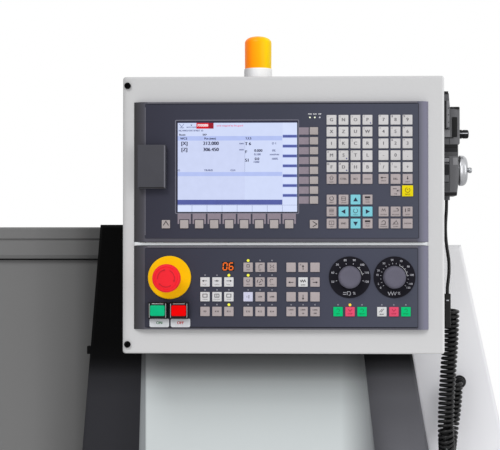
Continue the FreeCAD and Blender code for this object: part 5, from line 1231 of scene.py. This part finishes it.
# ---------------------------------------------------------------- stop button and power buttons
def stop_button():
    """Mushroom head: a profile turned about Y with a ring groove, and three printed arrows."""
    low, high = station_box("emergency_stop_button")
    (x, z), _ = across("emergency_stop_button")
    radius, front = (high[0] - low[0]) / 2, low[1]
    plate_front = station_box("emergency_stop_plate")[0][1]
    crown, dip, inner = 1.6, 1.1, radius - 4.8
    stem = [(plate_front + 0.5, 12.5), (plate_front - 9.0, 12.5), (plate_front - 10.5, 13.4)]
    rim = [(front + depth, radius - inset) for depth, inset in (
        (12.6, 2.0), (12.0, 0.8), (10.6, 0.0), (5.0, 0.0), (3.2, 0.35), (2.0, 1.2), (1.4, 2.4),
        (1.25, 3.4), (1.9, 3.9), (1.9, 4.3), (dip, 4.8))]
    share = np.linspace(0, 1, 8)[1:-1]
    crown_line = [(front + dip - crown * 0.7 * (1 - (1 - s) ** 2), inner * (1 - s)) for s in share]
    head = Surface()
    head.facing(stem + rim + crown_line + [(front + dip - crown * 0.7, 0.4)], x, z, steps=72)
    piece = head.piece("stop_mushroom", PLASTIC["stop_red"], "stop_button", sharp=40)
    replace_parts(piece, "emergency_stop_button")
    marks = Surface(front - crown * 0.2)
    ring = radius * 0.6
    for turn in (25, 145, 265):
        marks.line(arc_points(x, z, ring, turn, turn + 80, 10), 0.9)
        tip = arc_points(x, z, ring, turn + 83, turn + 84, 1)[0]
        marks.fill(triangle(tip[0], tip[1], 1.7, turn + 178), lift=0.02)
    marks.piece("stop_arrows", INK["stop_groove"], "stop_button")


def power_buttons():
    """Black seats with bright bars, lens caps that ride their buttons, and name plates below."""
    front = station_box("push_button_frames")[0][1]
    seats, (bars, plates) = Surface(front - 0.1), sheets(2)
    plate_shift, plate_z = 1.7, -154.2
    word_on, word_off = sheets(2, film_y - 1.0)
    for name, lens, text, label in (("power_on", "lens_green", "ON", word_on),
                                    ("power_off", "lens_red", "OFF", word_off)):
        node = name + "_button"
        (x, z), (width, height) = across(node)
        cap = Surface()
        cap.cap(width, height, station_box(node)[0][1], front + 3.0, 2.0, 1.4, x, z, dish=-0.5)
        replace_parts(cap.piece(name + "_lens", PLASTIC[lens], name, sharp=35), node)
        seats.line(rounded_outline(width + 3.0, height + 3.0, 2.6) + [x, z], 3.4, closed=True)
        for side in (-1, 1):
            bars.cap(1.1, 20.0, front - 2.0, front + 2.0, 0.4, 0.3, x + side * (width / 2 + 1.2), z)
        bars.cap(width * 0.8, 1.3, front - 1.4, front + 1.0, 0.4, 0.3, x, z + height / 2 + 2.0)
        plates.cap(28.0, 12.5, film_y - 0.9, film_y + 1.0, 2.4, 0.4, x + plate_shift, plate_z)
        label.word(text, x + plate_shift, plate_z, 5.6, bold=0.35)
    seats.piece("power_button_seats", PLASTIC["black"])
    bars.piece("power_button_bars", METAL["turned"], sharp=40)
    plates.piece("power_name_plates", INK["label"], sharp=40)
    word_on.piece("word_on", INK["on"])
    word_off.piece("word_off", INK["off"])


def dial_prints():
    """Ticks and numbers on the dial discs, a painted highlight arc at the upper right of each knob,
    and the marks between the scales' ends.
    """
    white, bright = sheets(2, dial_y - print_lift)
    low, high = station_box("override_scales")
    left_x, right_x = low[0] + 29.6, high[0] - 29.6
    z = (low[2] + high[2]) / 2

    def at(x, radius, turn):
        return arc_points(x, z, radius, turn, turn + 0.01, 1)[0]

    left_labels = {i: str(50 + 10 * i) for i in range(8)}
    right_labels = {0: "0", 1: "2", 3: "10", 4: "20", 6: "30", 8: "50", 10: "70", 12: "90",
                    14: "100", 16: "110", 17: "120"}
    for x, count, first, step, tick_end, tick, label_ring, size, labels in (
            (left_x, 8, -105.0, 30.0, 20.6, 0.8, 24.9, 4.3, left_labels),
            (right_x, 18, -127.5, 15.0, 20.4, 0.6, 24.6, 3.9, right_labels)):
        for i in range(count):
            turn = first + step * i
            white.line([at(x, 18.7, turn), at(x, tick_end, turn)], tick)
            if i in labels:
                white.word(labels[i], *at(x, label_ring, turn), size, bold=0.12)
    # Painted highlight: a bright arc round the upper right of each knob's edge.
    for x, first, last in ((left_x, 38, 80), (right_x, 22, 86)):
        bright.line(arc_points(x, z, 18.1, first, last, 14), 0.5)
    foot = z - 22.9
    for x in (left_x, right_x):
        white.word("%", x + 6.4, foot, 5.6, bold=0.15)
    for rise in (-1.3, 1.3):
        white.line([(left_x - 9.4, foot + rise), (left_x - 4.6, foot + rise)], 0.8)
    white.line([(left_x - 3.4, foot - 2.4), (left_x - 3.4, foot + 2.4),
                (left_x - 0.6, foot + 2.4)], 0.8)
    white.line(arc_points(left_x - 1.6, foot, 2.9, 20, 175, 8), 0.9)
    zigzag = np.array([(-9.2, 2.2), (-7.2, -2.2), (-5.0, 2.4), (-3.0, -2.2), (-1.0, 2.4),
                       (0.8, -2.2), (2.8, 2.4)])
    white.line(zigzag + [right_x, foot], 0.9)
    white.piece("dial_prints", INK["numeral"])
    bright.piece("dial_painted_highlights", INK["white"])


def override_knobs():
    """Two black knobs: a straight skirt that runs into a rounded front with a shallow dish."""
    for name in ("spindle", "feed"):
        node = name + "_override_knob"
        low, high = station_box(node)
        (x, z), _ = across(node)
        radius, front, rear = (high[0] - low[0]) / 2, low[1], high[1]
        knob = Surface()
        knob.facing([(rear, radius), (rear - 2.2, radius), (rear - 2.8, radius - 0.5),
                     (front + 4.4, radius - 1.3), (front + 2.2, radius - 1.9),
                     (front + 0.8, radius - 3.2), (front + 0.15, radius - 4.9),
                     (front, radius - 6.6), (front + 0.25, radius - 8.6), (front + 0.8, 0.4)],
                    x, z, steps=72)
        piece = knob.piece(name + "_override_cap", PLASTIC["knob"], name + "_knob", sharp=40)
        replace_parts(piece, node)


stop_button()
power_buttons()
dial_prints()
override_knobs()


# ---------------------------------------------------------------- beacon
def beacon():
    """Smooth lens on a straight foot; its crown falls as a power of the cosine towards the rim."""
    low, high = station_box("beacon_base")
    x, y = (low[0] + high[0]) / 2, (low[1] + high[1]) / 2
    radius, rise = (high[0] - low[0]) / 2, high[2] - low[2]
    foot, lens = Surface(), Surface()
    foot.turn([(0, radius), (0.5, radius - 0.5), (rise - 1.6, radius - 0.7),
               (rise - 0.8, radius - 0.9), (rise - 0.3, radius - 1.3), (rise, radius - 2.0)],
              (x, y, low[2]), UP, TO_RIGHT)
    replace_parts(foot.piece("beacon_foot", PLASTIC["beacon_white"], sharp=35), "beacon_base")
    low, high = station_box("beacon_lens")
    height, outer = high[2] - low[2], (high[0] - low[0]) / 2
    turns = np.linspace(0, math.pi / 2, 12)[:-1]
    crown = [(height - 10 + 10 * math.sin(t), 0.2 + (outer - 0.4) * math.cos(t) ** 0.8)
             for t in turns]
    wall = [(0, outer - 0.6), (1.0, outer - 0.4), (height - 16, outer - 0.2)]
    lens.turn(wall + crown + [(height, 1.0)], (x, y, low[2]), UP, TO_RIGHT)
    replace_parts(lens.piece("beacon_smooth_lens", PLASTIC["beacon_orange"], sharp=50), "beacon_lens")


# ---------------------------------------------------------------- hand-held unit
def hand_unit_trims():
    """Caps, inset panel, seams and patches on the hand-held unit's side that faces the operator; its
    patches, in darker, middle and paler copies of its plastic, are painted shade and painted light.

    Each plate is its left and right end, its foot and head, the face that it lies on, how far it
    stands out of that face and goes in behind it, and the radius of its corners.
    """
    low, high = station_box("handwheel_unit_body")
    left, slab_face, grip_face = low[0], low[1], low[1] + 7.0
    plates = {
        "black": [(left + 0.2, 240.2, high[2] - 1.0, high[2] + 0.3, slab_face, 0.4, 68.4, 0.6),
                  (242.6, 256.0, 154.6, 158.2, grip_face + 0.6, 0.6, 52.0, 0.6),
                  (245.2, 252.9, 113.9, 143.1, grip_face, 0.5, 2.0, 1.2),
                  (left + 0.2, 252.0, 28.8, 33.6, grip_face, 0.4, 54.0, 0.6),
                  (left + 0.1, 236.2, 126.6, 166.4, slab_face, 0.25, 1.0, 0.2),
                  (left + 0.1, 239.4, 125.2, 126.6, slab_face, 0.5, 6.0, 0.2),
                  (left + 0.3, 247.4, 112.2, 113.7, grip_face, 0.5, 1.0, 0.2),
                  (left + 0.3, 253.2, 98.0, 103.4, grip_face, 0.25, 1.0, 0.4),
                  (left + 0.3, 241.4, 84.1, 85.3, grip_face, 0.4, 1.0, 0.2),
                  (left + 0.3, 240.6, 47.6, 48.9, grip_face, 0.4, 1.0, 0.2)],
        "dark": [(238.8, 240.4, 154.9, 156.1, slab_face, 0.45, 1.0, 0.2),
                 (238.8, 240.4, 145.2, 146.4, slab_face, 0.45, 1.0, 0.2),
                 (238.8, 240.4, 134.5, 135.7, slab_face, 0.45, 1.0, 0.2),
                 (241.2, 241.9, 104.0, 112.0, grip_face, 0.3, 1.0, 0.1),
                 (left + 0.3, 253.2, 92.4, 98.0, grip_face, 0.25, 1.0, 0.3),
                 (left + 0.3, 241.4, 76.2, 77.4, grip_face, 0.4, 1.0, 0.2),
                 (left + 0.7, 241.0, 58.8, 74.2, grip_face, 0.45, 1.0, 1.2)],
        "mid": [(left + 0.3, 253.2, 86.6, 92.4, grip_face, 0.25, 1.0, 0.3),
                (left + 0.5, 240.8, 35.0, 46.8, grip_face, 0.3, 1.0, 0.4),
                (241.3, 241.9, 35.0, 83.0, grip_face, 0.4, 1.0, 0.1)],
        "pale": [(237.0, 240.8, 128.2, 166.4, slab_face, 0.3, 1.0, 0.3),
                 (left + 0.3, 242.4, 114.2, 124.6, grip_face, 0.3, 1.0, 0.4),
                 (left + 0.8, 241.2, 78.2, 83.6, grip_face, 0.35, 1.0, 1.0),
                 (246.6, 253.4, 73.4, 84.2, grip_face + 2.2, 2.4, 2.0, 0.8)]}
    # The broad dark and mid patches are painted shade and the pale ones painted light; the thin dark
    # plates are seams.
    for name, material in (("black", "black"), ("dark", "unit_dark"), ("mid", "unit_mid"),
                           ("pale", "unit_pale")):
        trims = Surface()
        for x0, x1, z0, z1, face, proud, depth, corner in plates[name]:
            trims.cap(x1 - x0, z1 - z0, face - proud, face + depth, corner, min(0.3, proud / 2),
                      (x0 + x1) / 2, (z0 + z1) / 2)
        trims.piece("unit_trims_" + name, PLASTIC[material], sharp=35)


def selector():
    """Black selector knob, and a pale line along its side that is a painted highlight."""
    low, high = station_box("axis_selector_knob")
    y, z = (low[1] + high[1]) / 2, (low[2] + high[2]) / 2
    radius = (high[2] - low[2]) / 2
    start = station_box("handwheel_unit_body")[1][0]
    length = high[0] - start
    knob, highlight_stripe = Surface(), Surface()
    knob.turn([(0, radius), (length * 0.30, radius), (length * 0.32, radius - 0.7),
               (length * 0.42, radius - 0.7), (length * 0.44, radius - 0.1),
               (length - 2.0, radius - 0.2), (length - 0.8, radius - 0.8),
               (length, radius - 2.4)], (start, y, z), TO_RIGHT, AWAY, 48)
    piece = knob.piece("selector_cap", PLASTIC["black"], "selector_knob", sharp=35)
    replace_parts(piece, "axis_selector_knob")
    # Painted highlight: a pale stripe along the knob's lit side.
    highlight_stripe.cap(length * 0.82, 1.3, y - radius - 0.12, y - radius + 1.2, 0.3, 0.2,
                start + length * 0.48, z + 0.9)
    highlight_stripe.piece("selector_painted_highlight", INK["label"], "selector_knob", sharp=35)


def pulse_wheel():
    """Rounded alloy knob, and its crank.

    The front side is pressed in by 9 per cent times two bell curves, e^(-(angle / width)^2) round
    the wheel and the same along its axis.
    """
    low, high = station_box("pulse_handwheel")
    y, z = (low[1] + high[1]) / 2, (low[2] + high[2]) / 2
    radius = (high[2] - low[2]) / 2 - 0.8
    start = station_box("handwheel_unit_body")[1][0] - 1.6
    profile = [(0, radius - 7.0), (1.3, radius - 7.0), (1.6, radius - 1.6), (2.0, radius - 0.5),
               (2.8, radius), (4.4, radius), (6.4, radius), (8.0, radius - 0.3),
               (10.0, radius - 1.2), (11.8, radius - 2.8), (13.2, radius - 5.2),
               (14.0, radius - 8.0), (14.1, radius - 10.4), (13.4, 9.0), (13.0, 5.0), (13.2, 0.4)]
    pinch_depth, pinch_angle, pinch_place, pinch_width = 0.09, 0.5, 6.0, 3.4
    points, faces = turned(profile, (start, y, z), TO_RIGHT, AWAY, 96)
    angle = np.arctan2(points[:, 2] - z, y - points[:, 1])
    along = (points[:, 0] - start - pinch_place) / pinch_width
    pinch = 1 - pinch_depth * np.exp(-(angle / pinch_angle) ** 2) * np.exp(-along ** 2)
    points[:, 1] = y + (points[:, 1] - y) * pinch
    points[:, 2] = z + (points[:, 2] - z) * pinch
    wheel, crank = Surface(), Surface()
    wheel.add(points, faces)
    piece = wheel.piece("rounded_wheel", METAL["silver"], "pulse_wheel", sharp=40)
    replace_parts(piece, "pulse_handwheel")
    reach, crank_throw = high[0] - start, 14.0
    crank.turn([(reach - 8.0, 2.4), (reach - 5.8, 2.6), (reach - 5.2, 3.9), (reach - 4.0, 4.1),
                (reach - 2.0, 4.1), (reach - 0.7, 3.4), (reach - 0.1, 1.6)],
               (start, y - crank_throw, z), TO_RIGHT, AWAY, 32)
    crank.piece("wheel_crank", METAL["turned"], "pulse_wheel", sharp=35)


def sleeve_ring():
    """Pale ring round the cord's sleeve, and the small six-sided nut above it."""
    low, high = station_box("cable_sleeve")
    x, y = (low[0] + high[0]) / 2, (low[1] + high[1]) / 2
    radius = (high[1] - low[1]) / 2
    ring, nut = Surface(), Surface()
    ring.turn([(0, radius - 0.4), (0.1, radius + 0.3), (1.7, radius + 0.3), (1.8, radius - 0.4)],
              (x, y, high[2] - 10.6), UP, TO_RIGHT, 40)
    nut.turn([(0, radius - 0.3), (0.2, radius + 0.1), (4.4, radius + 0.1), (4.8, radius - 0.6)],
             (x, y, high[2] - 8.4), UP, TO_RIGHT, 6)
    ring.piece("sleeve_ring", INK["label"], sharp=35)
    nut.piece("sleeve_nut", PLASTIC["rubber"], sharp=35)


def door_rubbers():
    """A dark strip of rubber along the fold of the sliding door that paints the shadow in that seam,
    and the bumper that the shut door meets.
    """
    low, high = station_box("sliding_door")
    fold_below_top, bumper_x, bumper_z = 50.8, -300.6, -204.4
    seam_shadow, bumper = Surface(), Surface()
    # Painted shadow: a dark strip in the seam at the door's fold.
    seam_shadow.cap(high[0] - low[0] - 2, 2.2, low[1] + 2.4, low[1] + 8.2, 0.2, 0.2,
             (low[0] + high[0]) / 2, high[2] - fold_below_top)
    bumper.cap(6.2, 12.0, low[1] - 66.0, low[1] - 52.0, 0.8, 0.8, bumper_x, bumper_z)
    seam_shadow.piece("door_seam_shadow_strip", PLASTIC["rubber"], "door", sharp=35)
    bumper.piece("door_bumper", PLASTIC["rubber"], sharp=35)


beacon()
hand_unit_trims()
selector()
pulse_wheel()
sleeve_ring()
door_rubbers()


# ---------------------------------------------------------------- hand-held unit's cord
coil_x, coil_y = 247.0, 85.0            # where the curls start, below the sleeve
coil_top, coil_turn_z, coil_back_top = -138.0, -310.0, -255.0
coil_loop, coil_helix = 42.5, 9.7       # radius of the loop at the bottom, and of one curl
coil_lean, coil_swing = 8.0, 13.0       # to the left on the way down, to the right on the way up
coil_pitch, coil_loop_pitch, coil_turns = 6.6, 7.3, 52.5
points_a_curl = 16
spline_runs_inside = 0.981              # radius of the spline over that of its control points
cord_diameter, cord_length = 5.0, 3.40  # millimetres, metres
cable_route = [(239.6, 75, 29), (239.6, 75, 8), (237.4, 74.6, -16), (238.8, 73.6, -42),
               (243.2, 71.4, -68), (242, 68.2, -90), (239.8, 66.6, -103), (239.8, 66.6, -114.5)]
sleeve_route = [(239.8, 66.6, -124), (238.6, 67.4, -134), (237.3, 74.0, -138)]


def eased(share):
    """Share of a move from 0 to 1, slow at both ends: 3 t^2 - 2 t^3."""
    share = np.clip(share, 0, 1)
    return share * share * (3 - 2 * share)


def coil_line(s, drop, arc, whole):
    """Centre line of the curls at distances s: down, half a circle, up again.

    It leans to the left on the way down and swings to the right on the way back, eased at the ends.
    """
    parts = [s < drop, s > drop + arc]
    angle = (s - drop) / coil_loop
    y = np.select(parts, [coil_y, coil_y + 2 * coil_loop], coil_y + coil_loop * (1 - np.cos(angle)))
    z = np.select(parts, [coil_top - s, coil_turn_z + s - drop - arc],
                  coil_turn_z - coil_loop * np.sin(angle))
    x = (coil_x - coil_lean * eased(s / drop)
         + (coil_lean + coil_swing) * eased((s - drop) / (whole - drop)))
    return np.stack([x, y, z], axis=1)


def curls():
    """Points of the curled wire: its centre line plus a circle across it.

    The circle's angle grows with the distance over the pitch, which is wider round the loop. It is
    drawn a little large, because the spline runs inside its control points.
    """
    drop, arc = coil_top - coil_turn_z, math.pi * coil_loop
    whole = drop + arc + coil_back_top - coil_turn_z
    s = np.linspace(0, whole, 6001)
    tight = np.minimum(s, drop) + np.maximum(s - drop - arc, 0)
    wide = np.clip(s - drop, 0, arc)
    share = tight / coil_pitch + wide / coil_loop_pitch
    whole_angle = 2 * math.pi * coil_turns
    angle = math.pi + whole_angle * share / share[-1]
    count = int(coil_turns * points_a_curl)
    at = np.interp(math.pi + whole_angle * np.arange(count + 1) / count, angle, s)
    here = coil_line(at, drop, arc, whole)
    step = 0.05
    tangent = coil_line(at + step, drop, arc, whole) - coil_line(at - step, drop, arc, whole)
    tangent /= np.linalg.norm(tangent, axis=1, keepdims=True)
    side = np.array([1.0, 0.0, 0.0]) - tangent * tangent[:, 0:1]
    side /= np.linalg.norm(side, axis=1, keepdims=True)
    other = np.cross(tangent, side)
    turn = np.interp(at, s, angle)[:, None]
    radius = coil_helix / spline_runs_inside
    return here + side * radius * np.cos(turn) + other * radius * np.sin(turn)


def unit_cord():
    """One spline from the hand-held unit through the sleeve and all the curls to the gland."""
    wire = curls()
    gland_mouth = station_box("cord_gland")[0][1]
    x, y, z = wire[-1]
    end = [(x, y + (gland_mouth - y) * share, z) for share in (0.5, 1.0)]
    places = ORIGIN + MM * np.concatenate([cable_route, sleeve_route, wire, end])
    curve = bpy.data.curves.new("unit_cord", "CURVE")
    curve.dimensions = "3D"
    spline = curve.splines.new("NURBS")
    spline.points.add(len(places) - 1)
    spline.points.foreach_set("co", np.column_stack([places, np.ones(len(places))]).ravel())
    spline.order_u = 3
    spline.use_endpoint_u = True
    spline.resolution_u = 3
    curve.bevel_depth = cord_diameter / 2 * MM
    curve.bevel_resolution = 3
    curve.use_fill_caps = True
    curve.materials.append(PLASTIC["cord"])
    cord = bpy.data.objects.new("unit_cord", curve)
    bpy.context.scene.collection.objects.link(cord)
    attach(cord, "machine")
    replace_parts(cord, "handwheel_cable", "curly_cord")


unit_cord()


# ---------------------------------------------------------------- floor, light and camera
def room():
    """Pale floor, white surroundings for the eye and for reflections, and a plain even light."""
    half, low = 6.0, cad_low.z
    mesh = bpy.data.meshes.new("floor")
    corners = [(-half, -half, low), (half, -half, low), (half, half, low), (-half, half, low)]
    mesh.from_pydata(corners, [], [(0, 1, 2, 3)])
    mesh.materials.append(paint("floor_paint", (236, 236, 236), rough=0.7, bump=0.05))
    floor = bpy.data.objects.new("floor", mesh)
    bpy.context.scene.collection.objects.link(floor)
    world = bpy.data.worlds.new("room")
    bpy.context.scene.world = world
    world.use_nodes = True
    tree, white, light_level = world.node_tree, (1.0, 1.0, 1.0, 1.0), 0.52
    plain = feed(tree, tree.nodes["Background"], {"Color": white, "Strength": light_level})
    seen = grow(tree, "Background", {"Color": white, "Strength": 1.0})
    rays = tree.nodes.new("ShaderNodeLightPath").outputs
    any_ray = rays["Is Camera Ray"]
    for kind in ("Is Glossy Ray", "Is Transmission Ray"):
        larger = grow(tree, "Math", {0: any_ray, 1: rays[kind]})
        larger.operation = "MAXIMUM"
        any_ray = larger.outputs["Value"]
    mix = grow(tree, "MixShader", {"Fac": any_ray, 1: plain.outputs["Background"],
                                   2: seen.outputs["Background"]})
    feed(tree, tree.nodes["World Output"], {"Surface": mix.outputs["Shader"]})


def lamps():
    """One broad sun from above left and a soft panel at the right."""
    sun = bpy.data.lights.new("key", "SUN")
    sun.energy = 1.2
    sun.angle = math.radians(25)
    key = bpy.data.objects.new("key", sun)
    key.rotation_euler = (math.radians(48), 0, math.radians(-24))
    panel = bpy.data.lights.new("fill", "AREA")
    panel.energy = 20
    panel.shape = "RECTANGLE"
    panel.size, panel.size_y = 1.6, 2.2
    fill = bpy.data.objects.new("fill", panel)
    fill.location = (2.6, -2.6, 1.9)
    fill.rotation_euler = (math.radians(80), 0, math.radians(42))
    for light in (key, fill):
        bpy.context.scene.collection.objects.link(light)


def camera():
    """Camera at the photograph's place, looking almost straight at the station."""
    lens = bpy.data.cameras.new("view")
    lens.lens, lens.sensor_width = 111.44, 36.0
    eye = bpy.data.objects.new("view", lens)
    eye.location = (0.5393, -2.7732, 1.3220)
    eye.rotation_euler = (math.radians(90.738), 0.0, math.radians(2.237))
    bpy.context.scene.collection.objects.link(eye)
    bpy.context.scene.camera = eye


room()
lamps()
camera()
bpy.context.scene.view_settings.view_transform = "Standard"
